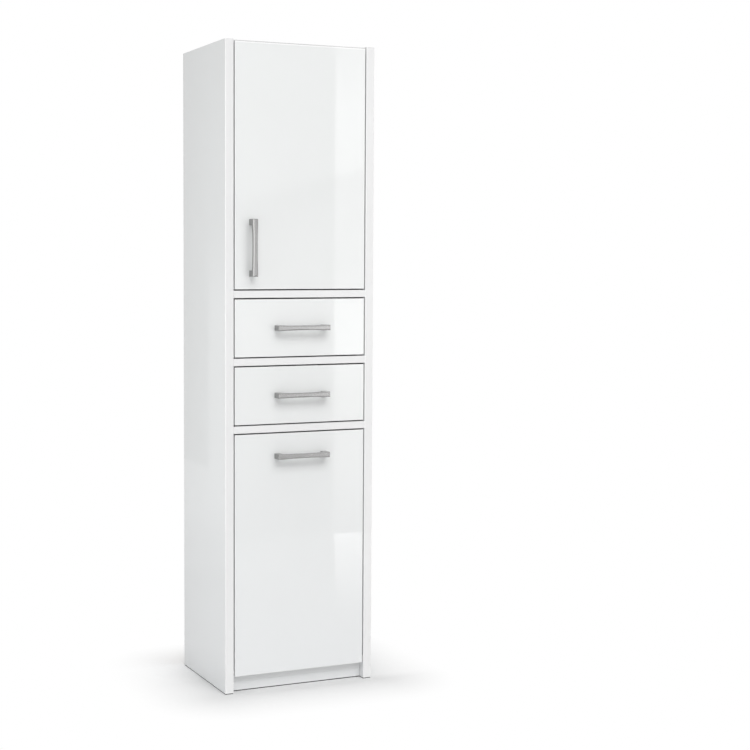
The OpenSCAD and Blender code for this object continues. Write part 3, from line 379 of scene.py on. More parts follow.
def shown(mesh, name, body, slot, nodes=(), finish=None):
    """Puts a finished mesh or curve into the scene as a piece of a body."""
    mesh.materials.clear()
    mesh.materials.append((finish or FINISHES[slot]).material)
    piece = bpy.data.objects.new(name, mesh)
    bpy.context.scene.collection.objects.link(piece)
    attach(piece, body)
    if nodes:
        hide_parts(*nodes)
    return piece


SHARP = 35.0    # degrees past which an edge stays an edge


def mesh_piece(bm, name, body, slot, nodes=(), finish=None, sharp=SHARP, turn_out=True, round_off=0.0):
    """A piece from a bmesh whose points are millimetres in the fronts' frame."""
    if turn_out:
        bmesh.ops.remove_doubles(bm, verts=bm.verts, dist=0.001)
        bmesh.ops.recalc_face_normals(bm, faces=bm.faces)
    bm.transform(Matrix.Scale(0.001, 4) @ Matrix.Translation((0, FRONT_PLANE, 0)))
    finished(bm, name, body, slot, nodes, finish, sharp, round_off)


def finished(bm, name, body, slot, nodes, finish, sharp, round_off):
    """A piece from a bmesh in the model's metres, with its hard edges rounded off by millimetres."""
    mesh = bpy.data.meshes.new(name)
    bm.to_mesh(mesh)
    bm.free()
    for face in mesh.polygons:
        face.use_smooth = True
    mesh.set_sharp_from_angle(angle=math.radians(sharp))
    piece = shown(mesh, name, body, slot, nodes, finish)
    if round_off:
        bevel = piece.modifiers.new("rounded_edges", "BEVEL")
        bevel.width, bevel.segments = round_off / 1000, 2
        bevel.limit_method, bevel.angle_limit = "ANGLE", math.radians(sharp)
        bevel.harden_normals = True
    else:
        # Flat faces stay flat beside their rounded edges, so that their reflections stay straight
        flat = piece.modifiers.new("flat_faces", "WEIGHTED_NORMAL")
        flat.keep_sharp = True


def sand_outline(bm, loss):
    """Takes some millimetres off a front's outline, with its rounded edges, which opens its gaps."""
    for axis in (0, 2):
        reach = [vert.co[axis] for vert in bm.verts]
        low, high = min(reach), max(reach)
        for vert in bm.verts:
            if vert.co[axis] < low + 0.002:
                vert.co[axis] += loss / 1000
            elif vert.co[axis] > high - 0.002:
                vert.co[axis] -= loss / 1000


def softened(node, round_off=0.0, sanded=0.0):
    """Stands for a CAD node: a merged copy of its mesh, rounded or sanded down by some millimetres."""
    bm = bmesh.new()
    bm.from_mesh(NODES[node].data)
    bmesh.ops.remove_doubles(bm, verts=bm.verts, dist=0.000002)
    bmesh.ops.dissolve_limit(bm, angle_limit=math.radians(0.6), verts=bm.verts, edges=bm.edges)
    if sanded:
        sand_outline(bm, sanded)
    finished(bm, node + "_formed", BODY_OF[node], SLOT_OF[node], (node,), None, SHARP, round_off)


def block(bm, low, high):
    """A box between two corners."""
    low, high = Vector(low), Vector(high)
    place = Matrix.Translation((low + high) / 2) @ Matrix.Diagonal((*(high - low), 1))
    bmesh.ops.create_cube(bm, size=1.0, matrix=place)


def bevelled(bm, edges, width, segments=1):
    bmesh.ops.bevel(bm, geom=edges, offset=width, offset_type="OFFSET", segments=segments, profile=0.5,
                    affect="EDGES", material=-1)


def turned(bm, profile, matrix=Matrix(), steps=24):
    """Spins a profile of (radius, height) round Z. A profile that starts and ends on the axis is closed."""
    verts = [bm.verts.new((r, 0, h)) for r, h in profile]
    edges = [bm.edges.new(pair) for pair in zip(verts, verts[1:])]
    bmesh.ops.spin(bm, geom=verts + edges, cent=(0, 0, 0), axis=(0, 0, 1), angle=math.tau,
                   steps=steps, use_merge=True, use_duplicate=False)
    grown, rim = set(verts), set(verts)
    while rim:
        rim = {w for v in rim for e in v.link_edges for w in e.verts} - grown
        grown |= rim
    grown = list(grown)
    bmesh.ops.remove_doubles(bm, verts=grown, dist=0.0005)
    bmesh.ops.transform(bm, matrix=matrix, verts=[v for v in grown if v.is_valid])


def along(axis, at=(0, 0, 0)):
    """A matrix that turns +Z to the axis and moves the origin to a point."""
    return Matrix.Translation(at) @ Vector((0, 0, 1)).rotation_difference(Vector(axis)).to_matrix().to_4x4()


def kept(bm):
    """The mesh of a bmesh that is done, with its faces turned out."""
    bmesh.ops.recalc_face_normals(bm, faces=bm.faces)
    mesh = bpy.data.meshes.new("template")
    bm.to_mesh(mesh)
    bm.free()
    return mesh


def added(bm, mesh):
    """Adds a mesh that nothing needs afterwards."""
    bm.from_mesh(mesh)
    bpy.data.meshes.remove(mesh)


def placed(template, matrix):
    """A copy of a template mesh at a place."""
    mesh = template.copy()
    mesh.transform(matrix)
    return mesh


def carved(solid, cutter):
    """The mesh of a solid bmesh less a cutter bmesh."""
    parts = []
    for bm in (solid, cutter):
        piece = bpy.data.objects.new("blank", kept(bm))
        bpy.context.scene.collection.objects.link(piece)
        parts.append(piece)
    cut = parts[0].modifiers.new("cut", "BOOLEAN")
    cut.object, cut.operation, cut.solver = parts[1], "DIFFERENCE", "EXACT"
    result = bpy.data.meshes.new_from_object(parts[0].evaluated_get(bpy.context.evaluated_depsgraph_get()))
    for piece in parts:
        mesh = piece.data
        bpy.data.objects.remove(piece)
        bpy.data.meshes.remove(mesh)
    return result


# ---- Screws ----


def cross_cutter(arm, width, low, high, narrow=1.0):
    """A plus-shaped prism along Z whose arms are shorter at its lower end."""
    bm = bmesh.new()
    outline = [(ux * reach - uy * side, uy * reach + ux * side, low)
               for ux, uy in ((1, 0), (0, 1), (-1, 0), (0, -1))
               for reach, side in ((width, -width), (arm, -width), (arm, width))]
    bottom = [bm.verts.new(corner) for corner in outline]
    bmesh.ops.extrude_face_region(bm, geom=[bm.faces.new(bottom[::-1])])
    for v in set(bm.verts) - set(bottom):
        v.co.z = high
    for v in bottom:
        for axis in (0, 1):
            if abs(v.co[axis]) > 1.001 * width:
                v.co[axis] *= narrow
    return bm


def screw_mesh(head_d, head_t, length, shank_d, dome=0.35):
    """A screw along -Z whose head stands on z = 0, with a cross recess and a ridged shank."""
    r, s = head_d / 2, shank_d / 2
    head = bmesh.new()
    profile = [(0, -0.01), (r - 0.15, -0.01), (r, 0.15), (r, head_t * 0.45)]
    for i in range(1, 6):
        a = i / 5 * math.pi / 2
        across = r * (1 - dome * (1 - math.cos(a))) * math.cos(a * 0.5) if i < 5 else r * 0.5
        profile.append((across, head_t * (0.45 + 0.55 * math.sin(a))))
    profile.append((0, head_t))
    turned(head, profile, steps=24)
    cross = cross_cutter(r * 0.62, r * 0.15, head_t * 0.25, head_t + 1, 0.45)
    cross.transform(Matrix.Rotation(0.25, 4, "Z"))
    screw = bmesh.new()
    added(screw, carved(head, cross))
    ridges = max(3, int((length - 3) / 1.4))
    pitch, root = (length - 3.5) / ridges, s * 0.78
    shank = [(0, 0), (s, 0)]
    for i in range(ridges):
        z = -1.0 - i * pitch
        shank += [(root, z), (s, z - 0.45 * pitch)]
    shank += [(root, -(length - 2.4)), (0, -length)]
    turned(screw, shank, steps=10)
    return kept(screw)


WOOD_SCREW = screw_mesh(7, 2, 11.8, 3.4)
FLAT_SCREW = screw_mesh(7, 1.5, 11.2, 3.4)
CUP_SCREW = screw_mesh(6, 1.5, 11.2, 2.2)
SIDE_SCREW = screw_mesh(7, 1.0, 31.8, 3.4, 0.15)
HANDLE_SCREW = screw_mesh(8, 2, 29.8, 3.9)
ADJUST_SCREW = screw_mesh(6.4, 1.0, 6, 2.6, 0.15)


def cam_mesh():
    """An eccentric disc along -Z whose slotted face lies on z = 0."""
    disc = bmesh.new()
    turned(disc, [(0, -9.4), (5.7, -9.4), (6, -9.1), (6, -5.2), (5.1, -5.0), (5.1, -2.6), (6, -2.4),
                  (6, -0.3), (5.7, 0), (0, 0)], steps=32)
    return carved(disc, cross_cutter(3.5, 0.65, -2.5, 1))


def bolt_mesh():
    """A connecting bolt along +Z: thread, shoulder, neck and the head that the disc pulls on."""
    bm = bmesh.new()
    profile = [(0, 0), (1.6, 0)]
    for i in range(7):
        profile += [(1.95, 0.6 + 1.3 * i), (2.5, 1.2 + 1.3 * i)]
    profile += [(2.0, 9.9), (2.5, 10.3), (2.5, 27.5), (2.1, 27.9), (1.5, 28.1), (1.5, 30.6), (2.4, 31.1),
                (2.4, 32.6), (1.9, 33), (0, 33)]
    turned(bm, profile, steps=20)
    return kept(bm)


CAM, BOLT = cam_mesh(), bolt_mesh()


def screws(name, body, node, rows):
    """Stands for a CAD screw node: rows of (template, place of its origin, direction of its +Z)."""
    bm = bmesh.new()
    for i, (template, at, axis) in enumerate(rows):
        added(bm, placed(template, along(axis, at) @ Matrix.Rotation(i * 1.9, 4, "Z")))
    mesh_piece(bm, name, body, "zinc_steel", (node,), turn_out=False, sharp=40)


def handle_screws(centre, upright=False):
    """Rows of the two screws that hold a handle from behind its front."""
    out = Vector((0, 0, 1)) if upright else Vector((1, 0, 0))
    return [(HANDLE_SCREW, Vector(centre) + s * HANDLE_PITCH / 2 * out + Vector((0, FRONT_T, 0)), (0, 1, 0))
            for s in (-1, 1)]


DOOR_HANDLE_AT = (-131.0, 0.0, 1099.0)
FLAP_HANDLE_AT = (0.0, 0.0, 586.0)
DRAWER_HANDLES = [(0.0, 0.0, z + 71.0) for z in DRAWER_ZS]

# Hinge cups: radius of their well, its distance from the door's edge, and the wings' thickness
CUP_R, CUP_IN, WING_T = 17.5, 4.5, 1.5
CUP_X = FRONT_HALF - CUP_IN - CUP_R
WING_X = CUP_X - 6          # middle of the wings
screws("door_screws_crossed", "door", "door_screws", handle_screws(DOOR_HANDLE_AT, True) + [
    (CUP_SCREW, (WING_X, FRONT_T + WING_T, z + s * 24), (0, 1, 0)) for z in HINGE_ZS for s in (-1, 1)])

# In each corner of a drawer: a screw into the back, a cam in the side and its bolt in the front
for part, z0, at in zip(("lower", "upper"), DRAWER_ZS, DRAWER_HANDLES):
    rows = handle_screws(at)
    for s in (-1, 1):
        for z in (z0 + RUNNER_UP + 25, z0 + RUNNER_UP + 77):
            rows += [(SIDE_SCREW, (s * 165.5, FRONT_T + 244, z), (s, 0, 0)),
                     (CAM, (s * 153.5, FRONT_T + 24, z), (-s, 0, 0)),
                     (BOLT, (s * 159.5, 8, z), (0, 1, 0))]
    screws("drawer_%s_screws_crossed" % part, "drawer_" + part, "drawer_%s_screws" % part, rows)

# Laundry front: two screws in the stay's plate and one in each clip, under the lowest and highest hoop
BASKET_Y = FRONT_T + 6.5
HOOP_ZS = [FLAP_Z + 130 + i * 74.5 for i in range(5)]
STAY_X, STAY_Z = 163, 312
screws("flap_screws_crossed", "flap", "flap_screws", handle_screws(FLAP_HANDLE_AT) + [
    (FLAT_SCREW, (STAY_X, FRONT_T + 2, STAY_Z + s * 22), (0, 1, 0)) for s in (-1, 1)] + [
    (FLAT_SCREW, (x, FRONT_T + 4, z - 11), (0, 1, 0)) for x in (-90, 90) for z in (HOOP_ZS[0], HOOP_ZS[-1])])

# Carcass: the wall bracket, the hinge plates and their two adjusting screws, and the runners
rows = [(WOOD_SCREW, (x, BACK_Y - 24, 1580), (0, 0, -1)) for x in (-11, 11)]
rows += [(WOOD_SCREW, (SIDE_IN - 2, 37, z + s * 16), (-1, 0, 0)) for z in HINGE_ZS for s in (-1, 1)]
for z in HINGE_ZS:
    rows += [(ADJUST_SCREW, (163.5, 61, z), (-1, 0, 0)), (ADJUST_SCREW, (155.2, 50.5, z), (-0.815, 0.579, 0))]
rows += [(FLAT_SCREW, (s * (SIDE_IN - 1.2), FRONT_T + y, z0 + RUNNER_UP + WHEEL_UP), (-s, 0, 0))
         for s in (-1, 1) for z0 in DRAWER_ZS for y in (45, 205)]
screws("carcass_screws_crossed", "carcass", "carcass_screws", rows)


# ---- Handles ----


def handle(name, body, node, centre, upright=False):
    """One casting: a bar with a long shallow waist, a broad bevel on its front and two square feet."""
    bm = bmesh.new()
    half, inner = (HANDLE_PITCH + HANDLE_FOOT) / 2, (HANDLE_PITCH - HANDLE_FOOT) / 2
    block(bm, (-half, -REACH, -BAR_W / 2), (half, -REACH + BAR_T, BAR_W / 2))
    steps = 16
    for x in [-inner, inner] + [-inner + 2 * inner * i / steps for i in range(1, steps)]:
        bmesh.ops.bisect_plane(bm, geom=bm.verts[:] + bm.edges[:] + bm.faces[:], dist=0.0001,
                               plane_co=(x, 0, 0), plane_no=(1, 0, 0))
    feet = [f for f in bm.faces if f.normal.y > 0.9 and abs(f.calc_center_median().x) > inner]
    for face in feet:
        grown = bmesh.ops.extrude_face_region(bm, geom=[face])
        moved = [v for v in grown["geom"] if isinstance(v, bmesh.types.BMVert)]
        bmesh.ops.translate(bm, verts=moved, vec=(0, REACH - BAR_T, 0))
        bmesh.ops.delete(bm, geom=[face], context="FACES_ONLY")
    bmesh.ops.recalc_face_normals(bm, faces=bm.faces)
    broad = 2.5
    front = [e for e in bm.edges if all(abs(v.co.y + REACH) < 0.01 for v in e.verts)
             and all(abs(abs(v.co.z) - BAR_W / 2) < 0.01 for v in e.verts)]
    bevelled(bm, front, broad)
    ends = [e for e in bm.edges
            if all(abs(abs(v.co.x) - half) < 0.01 and v.co.y < -REACH + broad + 0.1 for v in e.verts)]
    bevelled(bm, ends, 0.9)
    for v in bm.verts:
        if abs(v.co.x) < inner and v.co.y < -REACH + BAR_T + 0.01:
            share = 1 - (v.co.x / inner) ** 2
            v.co.z -= math.copysign((BAR_W - WAIST_W) / 2 * share, v.co.z)
    if upright:
        bm.transform(Matrix.Rotation(math.pi / 2, 4, "Y"))
    bm.transform(Matrix.Translation(centre))
    mesh_piece(bm, name, body, "satin_nickel", (node,), UPRIGHT_NICKEL if upright else None,
               sharp=28, round_off=0.55)


handle("door_bar_handle", "door", "door_handle", DOOR_HANDLE_AT, True)
handle("flap_bar_handle", "flap", "flap_handle", FLAP_HANDLE_AT)
handle("drawer_lower_bar_handle", "drawer_lower", "drawer_lower_handle", DRAWER_HANDLES[0])
handle("drawer_upper_bar_handle", "drawer_upper", "drawer_upper_handle", DRAWER_HANDLES[1])


# ---- Boards, fronts and fittings that keep their CAD shape ----

# The fronts lose a little all round, which gives their gaps the weight of dark lines
for node in ("door", "flap", "drawer_upper_front", "drawer_lower_front"):
    softened(node, sanded=0.3)
# These boards have their rounded edges from the CAD, and the pieces after them get theirs here
for node in ("side_left", "side_right", "top_panel", "divider_upper", "divider_middle", "divider_lower",
             "bottom_panel", "shelf"):
    softened(node)
for node in ("plinth", "drawer_upper_side_left", "drawer_upper_side_right", "drawer_upper_back",
             "drawer_lower_side_left", "drawer_lower_side_right", "drawer_lower_back"):
    softened(node, round_off=0.5)
for node in ("wall_bracket", "flap_stay", "stay_stud", "basket_clips", "hinge_plates", "hinge_arms",
             "hinge_link_upper", "hinge_link_lower", "cabinet_runners_upper", "cabinet_runners_lower",
             "drawer_upper_runners", "drawer_lower_runners", "pivot_bushes", "flap_pivots", "shelf_pins",
             "glides", "cam_discs"):
    softened(node, round_off=0.25)


# ---- Drawer wheels ----


def wheels(name, node, y, z):
    """A pair of wheels with a hub, a recessed web and a raised tread."""
    bm = bmesh.new()
    profile = [(2.55, 0), (4.2, 0), (4.5, 0.3), (4.5, 0.6), (7.6, 0.6), (8.2, 0.0), (9.3, 0), (10, 0.7),
               (10, 5.8), (9.3, 6.5), (8.2, 6.5), (7.6, 5.4), (4.9, 5.4), (4.5, 5.8), (4.2, 6.5), (2.55, 6.5),
               (2.55, 0)]
    for s in (-1, 1):
        turned(bm, profile, along((s, 0, 0), (s * 167.0, y, z)), steps=40)
    mesh_piece(bm, name, BODY_OF[node], "white_plastic", (node,))


for part, z0 in (("upper", DRAWER_ZS[1]), ("lower", DRAWER_ZS[0])):
    axle_z = z0 + RUNNER_UP + WHEEL_UP
    wheels("front_wheels_" + part, "front_rollers_" + part, FRONT_T + 14, axle_z)
    wheels("rear_wheels_" + part, "rear_rollers_" + part, FRONT_T + 238, axle_z)


# ---- Concealed hinges ----

PIN_AT = (164.0, 11.5)


def hinge_cups():
    """Two pressed cups with a rolled lip and screw wings, each with the pin that carries its link."""
    bm = bmesh.new()
    face = FRONT_T + WING_T
    pin = [(0, -12.6), (1.2, -12.6), (1.5, -12.3), (1.5, 12.3), (1.2, 12.6), (0, 12.6)]
    for z in HINGE_ZS:
        centre = Matrix.Translation((CUP_X, 0, z)) @ along((0, 1, 0))
        # From the middle of the bottom over the outer wall and the rolled lip, down into the bowl
        turned(bm, [(0, 6.5), (15.5, 6.5), (17.3, 8.2), (CUP_R - 0.1, FRONT_T), (18.3, FRONT_T),
                    (18.5, FRONT_T + 0.3), (18.5, face - 0.3), (18.2, face), (16.9, face), (16.2, face - 0.6),
                    (15.8, 9.2), (14.2, 7.7), (0, 7.6)], centre, steps=64)
        wing, bowl = bmesh.new(), bmesh.new()
        block(wing, (WING_X - 7.5, FRONT_T, z - 30), (WING_X + 7.5, face - 0.1, z + 30))
        corners = [e for e in wing.edges if abs(e.verts[0].co.y - e.verts[1].co.y) > 1]
        bevelled(wing, corners, 7.2, 8)
        turned(bowl, [(0, FRONT_T - 1), (16.4, FRONT_T - 1), (16.4, face + 2), (0, face + 2)],
               centre, steps=64)
        added(bm, carved(wing, bowl))
        turned(bm, pin, Matrix.Translation((*PIN_AT, z)), steps=20)
    mesh_piece(bm, "hinge_cups_pressed", "door", "dark_nickel", ("hinge_cups",), sharp=30, round_off=0.15)


# ---- Wire basket ----

HALF_W = 161.0
WIRE, RIM, WELD = 3.0, 5.0, 0.3
STEP = WIRE - WELD          # between the middles of two wires that are welded where they cross
SLOPE = 0.18                # how the hoops fall towards the back
RIM_DEPTH, RIM_FALL = 199.0, 93.0
HOOP_R = 26.0
RIM_Z = FLAP_Z + 567
LOW_Z = HOOP_ZS[0]
BEND_HALF = 124.0           # half the length of the cross wire along the back's bend
# Corners of the back's profile as (depth, height): at the rim, at its bend and at the lowest hoop
RIM_BACK = Vector((BASKET_Y + RIM_DEPTH, RIM_Z - RIM_FALL))
BEND = Vector((BASKET_Y + 172, FLAP_Z + 315))
LOW_BACK = Vector((BASKET_Y + 42, LOW_Z - SLOPE * 42))
WALL = (BEND.y - LOW_BACK.y) / (BEND.x - LOW_BACK.x)


def back_depth(z):
    """Depth of the basket's back at a height."""
    if z > BEND.y:
        return BEND.x + (RIM_BACK.x - BEND.x) * (z - BEND.y) / (RIM_BACK.y - BEND.y)
    return LOW_BACK.x + (z - LOW_BACK.y) / WALL


def hoop_rear(z):
    """Where a hoop that starts at a height on the front meets the back."""
    y = BASKET_Y + 100
    for _ in range(12):
        y = back_depth(z - SLOPE * (y - BASKET_Y))
    return Vector((y, z - SLOPE * (y - BASKET_Y)))


def wire_curve(name, thickness):
    curve = bpy.data.curves.new(name, "CURVE")
    curve.dimensions = "3D"
    curve.bevel_depth = thickness / 2000
    curve.bevel_resolution = 3
    curve.use_fill_caps = True
    return curve


def bent(points, radii, steps=6, closed=False):
    """The points of a wire through the given corners, each turned on its own radius."""
    points = [Vector(p) for p in points]
    count, path = len(points), []
    for i, p in enumerate(points):
        if not closed and i in (0, count - 1):
            path.append(p)
            continue
        a, b = points[i - 1] - p, points[(i + 1) % count] - p
        spread = math.tan(a.angle(b) / 2)
        cut = min(radii[i] / spread, 0.49 * a.length, 0.49 * b.length)
        r = cut * spread
        a.normalize()
        b.normalize()
        middle = p + (a + b).normalized() * math.hypot(r, cut)
        start, end = (p + a * cut - middle).normalized(), (p + b * cut - middle).normalized()
        path += [middle + start.slerp(end, k / steps) * r for k in range(steps + 1)]
    return path


def lay_wire(curve, path, closed=False):
    spline = curve.splines.new("POLY")
    spline.points.add(len(path) - 1)
    for point, p in zip(spline.points, path):
        point.co = (*metres(p), 1.0)
    spline.use_cyclic_u = closed


def ring(curve, z, rear, radii, steps):
    """A closed hoop with its straight front at a height and its rear stretch at a (depth, height)."""
    corners = [(-HALF_W, BASKET_Y, z), (HALF_W, BASKET_Y, z), (HALF_W, *rear), (-HALF_W, *rear)]
    lay_wire(curve, bent(corners, radii, steps, True), True)


def basket():
    rim = wire_curve("basket_rim_wire", RIM)
    ring(rim, RIM_Z, RIM_BACK, [14] * 4, 10)
    shown(rim, "basket_rim_wire", "flap", "white_wire", ("basket_rim",))

    hoops = wire_curve("basket_hoops", WIRE)
    for z in HOOP_ZS:
        rear = hoop_rear(z)
        r = min(HOOP_R, 0.6 * (rear.x - BASKET_Y))
        ring(hoops, z, rear, [7, 7, r, r], 8)
    lay_wire(hoops, [(-BEND_HALF, *BEND), (BEND_HALF, *BEND)])
    shown(hoops, "basket_hoops", "flap", "white_wire", ("basket_side_left", "basket_side_right"))

    ribs = wire_curve("basket_ribs", WIRE)
    # Six wires down one side, under the basket and up the other side
    side_x = HALF_W - STEP
    for i in range(6):
        y = BASKET_Y + 2 * WIRE + i * (RIM_DEPTH - 2 * HOOP_R - 2 * WIRE) / 5
        if y < LOW_BACK.x:
            foot = LOW_Z - SLOPE * (y - BASKET_Y) - STEP
        else:
            foot = LOW_BACK.y + WALL * (y + STEP - LOW_BACK.x) - STEP * math.sqrt(1 + WALL * WALL)
        top = RIM_Z - RIM_FALL * (y - BASKET_Y) / RIM_DEPTH
        lay_wire(ribs, bent([(-side_x, y, top), (-side_x, y, foot), (side_x, y, foot), (side_x, y, top)],
                            [0, 10, 10, 0]))
    # Ten wires down the front, under the basket and up its back
    reach, front = HALF_W - HOOP_R - 2 * WIRE, BASKET_Y + STEP
    for i in range(10):
        x = -reach + i * 2 * reach / 9
        back = [(x, corner.x - STEP, corner.y) for corner in (LOW_BACK, BEND, RIM_BACK)]
        lay_wire(ribs, bent([(x, front, RIM_Z), (x, front, LOW_Z), *back], [0, 4, 12, 30, 0]))
    shown(ribs, "basket_ribs", "flap", "white_wire", ("basket_back", "basket_front"))


basket()
hinge_cups()


# ---- Floor, light and camera ----


def flat_piece(name, corners, finish):
    bm = bmesh.new()
    bm.faces.new([bm.verts.new(c) for c in corners])
    mesh = bpy.data.meshes.new(name)
    bm.to_mesh(mesh)
    bm.free()
    mesh.materials.append(finish.material)
    piece = bpy.data.objects.new(name, mesh)
    bpy.context.scene.collection.objects.link(piece)
    return piece


def floor(lift, reach):
    """White floor that keeps the object's shadow near it and runs out into the white surround."""
    f = Finish("studio_floor_white")
    x, y, z = f.axes()
    front, depth, half_width = FRONT_PLANE / 1000, DEPTH / 1000, SIDE_OUT / 1000
    # Little light comes under the sides and the plinth
    behind_plinth = y > front + 0.0215
    under_side = (abs(x) > (SIDE_IN + 0.5) / 1000) * (y > front + 0.0005)
    under = behind_plinth.most(under_side) * (abs(x) < half_width - 0.0005) * (y < front + depth - 0.0005)
    # The soft shadow is deeper before the fronts and along the left side, and light at its rear corner
    before_fronts = ((front + 0.02 - y) * 25.0).least(1.0).most(0.0)
    leftward = ((-0.1 - x) * 12.0).least(1.0).most(0.0)
    beside_right = f.blend(before_fronts, grey(lift), grey(0.84 * lift))
    beside_left = f.ramp((y - front) / depth, (0.0, grey(0.84 * lift)), (0.45, grey(0.87 * lift)),
                         (0.8, grey(1.04 * lift)), (1.0, grey(1.17 * lift)))
    shade = f.blend(under, f.blend(leftward, beside_right, beside_left), grey(0.12))
    # Past its reach from the cabinet's foot the floor is the white surround
    beside = (abs(x) - half_width).most(0.0)
    before = (abs(y - (front + depth / 2)) - depth / 2).most(0.0)
    away = (beside * beside + before * before) ** 0.5
    far = 1.0 - (1.0 - (away / reach).least(1.0)) ** 1.5
    near = f.node("ShaderNodeBsdfDiffuse", None, {"Color": shade})
    white = f.node("ShaderNodeEmission", None, {"Color": grey(1.0), "Strength": 1.0})
    run_out = f.mixed_shaders(far, near, white)
    plain = f.node("ShaderNodeBsdfDiffuse", None, {"Color": grey(0.6)})
    f.surface(f.mixed_shaders(f.white_rays(), plain, run_out))
    flat_piece("studio_floor", [(-30, -30, 0), (30, -30, 0), (30, 30, 0), (-30, 30, 0)], f)


def card(name, corners, axis, *levels):
    """A studio card that only reflections see. Levels are (place along the axis, radiance)."""
    f = Finish(name)
    low, span = levels[0][0], max(levels[-1][0] - levels[0][0], 0.001)
    share = (f.axes()[axis] - low) / span
    top = max(level for _, level in levels)
    shade = f.ramp(share, *[((place - low) / span, grey(level / top)) for place, level in levels])
    glow = f.node("ShaderNodeEmission", None, {"Color": shade, "Strength": top})
    f.surface(glow)
    piece = flat_piece(name, corners, f)
    piece.visible_camera = piece.visible_diffuse = piece.visible_shadow = False
    piece.visible_transmission = piece.visible_volume_scatter = False


def cards():
    """What the fronts mirror: a wall behind the camera whose corner shows as the upright line on their
    right, a lighter band below a slanting edge, and the floor's brighter patch near the cabinet."""
    y, z = 1, 2
    wall, corner, left, right, top = -3.62, 1.74, -1.6, 3.4, 3.2
    edge_left, edge_corner, edge_right = (1.53 + 0.27 * (x - 1.90) for x in (left, corner, right))

    def upright(name, low_left, low_right, high_right, high_left, *levels):
        corners = (low_left, low_right, high_right, high_left)
        card(name, [(x, wall, height) for x, height in corners], z, *levels)

    upright("card_left_high", (left, edge_left), (corner, edge_corner), (corner, top), (left, top),
            (0.6, 1.0), (1.6, 1.05), (2.2, 0.95), (3.2, 0.8))
    upright("card_left_low", (left, 0.0), (corner, 0.0), (corner, edge_corner), (left, edge_left),
            (0.0, 0.75), (0.24, 0.85), (0.27, 1.1), (0.55, 1.1), (0.58, 1.6), (0.9, 1.6), (0.94, 1.2),
            (1.15, 1.1), (1.4, 0.6))
    upright("card_right_high", (corner, edge_corner), (right, edge_right), (right, top), (corner, top),
            (1.4, 2.5), (1.8, 2.9), (2.1, 2.1), (3.2, 2.0))
    upright("card_right_low", (corner, 0.0), (right, 0.0), (right, edge_right), (corner, edge_corner),
            (0.0, 1.8), (0.24, 1.9), (0.27, 2.1), (0.4, 2.3), (0.56, 2.9), (0.58, 3.8), (0.7, 3.7),
            (0.9, 3.4), (0.93, 2.3), (1.2, 2.0), (1.5, 1.8))

    def lying(name, corners, *levels, height=0.001):
        card(name, [(*corner, height) for corner in corners], y, *levels)

    # The far floor's halves meet on a slanting line from the wall's corner to its near end
    near_end = (0.99, -2.05)
    lying("card_far_floor", [(left, wall), (corner, wall), near_end, (left, near_end[1])],
          (-3.6, 0.75), (-2.1, 0.65))
    lying("card_far_floor_right", [(corner, wall), (right, wall), (right, near_end[1]), near_end],
          (-3.6, 1.7), (-2.8, 1.5), (-2.1, 1.1))
    lying("card_near_floor", [(0.99, -2.03), (2.2, -1.75), (1.6, -0.75), (0.42, -0.8)],
          (-2.0, 3.2), (-1.7, 2.6), (-1.2, 1.9), (-0.8, 1.1))
    lying("card_ceiling", [(-2.4, -3.4), (2.4, -3.4), (2.4, 1.4), (-2.4, 1.4)], (-3.4, 1.4), (1.4, 1.2),
          height=3.7)
    # Bright panel at the left, which the bevels and rounded corners catch
    card("card_left", [(-3.1, -2.3, 0.0), (-3.7, -0.9, 0.0), (-3.7, -0.9, 2.8), (-3.1, -2.3, 2.8)], z,
         (0.0, 2.2), (2.8, 2.8))
    # What the left side mirrors: the corner of a lighter wall and the floor before it
    card("card_side_wall", [(-1.523, 2.9, 0.0), (-1.523, 3.51, 0.0), (-1.523, 3.51, 1.3), (-1.523, 2.9, 1.3)],
         z, (0.0, 1.2), (0.8, 1.2), (1.1, 1.07), (1.3, 1.0))
    lying("card_side_floor", [(-1.6, 1.3), (-0.4, 1.3), (-0.4, 4.4), (-1.6, 4.4)],
          (1.3, 1.04), (1.9, 1.08), (2.5, 1.19), (4.4, 1.2))


def surroundings(ambient):
    """A white surround: plain ambient light, seen as white by the camera and in reflections."""
    world = bpy.data.worlds.new("studio_surround")
    bpy.context.scene.world = world
    sky = Graph(world)
    strength = ambient + (1.0 - ambient) * sky.white_rays()
    back = sky.node("ShaderNodeBackground", None, {"Color": grey(1.0), "Strength": strength})
    sky.join(back.outputs[0], sky.node("ShaderNodeOutputWorld").inputs["Surface"])


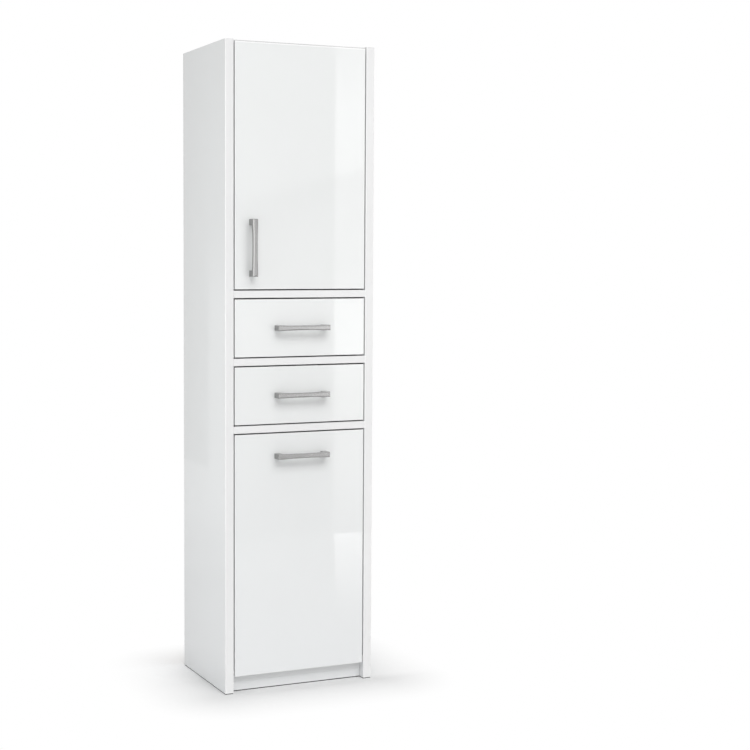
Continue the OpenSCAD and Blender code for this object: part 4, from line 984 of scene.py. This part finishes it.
def softbox(name, at, towards, size, power, tint=(1, 1, 1)):
    """A softbox that lights the room, and that no mirror shows."""
    light = bpy.data.lights.new(name, "AREA")
    light.shape, light.size, light.size_y, light.energy = "RECTANGLE", size[0], size[1], power
    light.color = tint
    lamp = bpy.data.objects.new(name, light)
    bpy.context.scene.collection.objects.link(lamp)
    lamp.location = at
    lamp.rotation_euler = (Vector(towards) - Vector(at)).to_track_quat("-Z", "Y").to_euler()
    lamp.visible_camera = lamp.visible_glossy = False


# The solved view, in pixels of the photograph: its side, the focal length and the vanishing middle
FRAME, FOCAL, MIDDLE = 750, 1511, (277, 360)


def camera():
    yaw, pitch, roll = math.radians(23.13), math.radians(3.76), math.radians(0.10)
    forward = Vector((math.sin(yaw) * math.cos(pitch), math.cos(yaw) * math.cos(pitch), -math.sin(pitch)))
    right = Vector((math.cos(yaw), -math.sin(yaw), 0))
    up = right.cross(forward)
    turned_right = right * math.cos(roll) + up * math.sin(roll)
    turned_up = up * math.cos(roll) - right * math.sin(roll)
    lens = bpy.data.cameras.new("photo_camera")
    lens.sensor_width = 36
    lens.lens = FOCAL / FRAME * lens.sensor_width
    lens.shift_x, lens.shift_y = (FRAME / 2 - MIDDLE[0]) / FRAME, (MIDDLE[1] - FRAME / 2) / FRAME
    lens.clip_end = 200
    eye = bpy.data.objects.new("photo_camera", lens)
    bpy.context.scene.collection.objects.link(eye)
    eye.matrix_world = Matrix.Translation((-1.523, -3.553, 1.068)) @ Matrix(
        (turned_right, turned_up, -forward)).transposed().to_4x4()
    bpy.context.scene.camera = eye


floor(0.85, 0.22)
cards()
surroundings(0.50)
softbox("front_softbox", (-0.5, -7.5, 7.2), (-0.5, -8.6, 0), (8.0, 7.0), 715)
softbox("right_softbox", (2.3, -3.6, 0.4), (0, -0.1, 0.4), (1.2, 3.0), 20)
softbox("left_softbox", (-4.2, -1.4, 0.9), (0, 0, 0.7), (2.0, 2.6), 3, tint=(0.93, 0.97, 1.0))
softbox("top_softbox", (0, -0.6, 4.2), (0, 0, 0), (3.0, 3.0), 17)
softbox("rear_softbox", (2.4, 3.4, 2.2), (0, 0, 0.8), (2.4, 2.6), 16)
softbox("side_softbox", (-0.75, -0.24, 0.72), (-0.2, -0.12, 0.7), (0.4, 2.0), 1.9, tint=(0.95, 0.98, 1.0))
camera()
bpy.context.scene.view_settings.view_transform = "Standard"
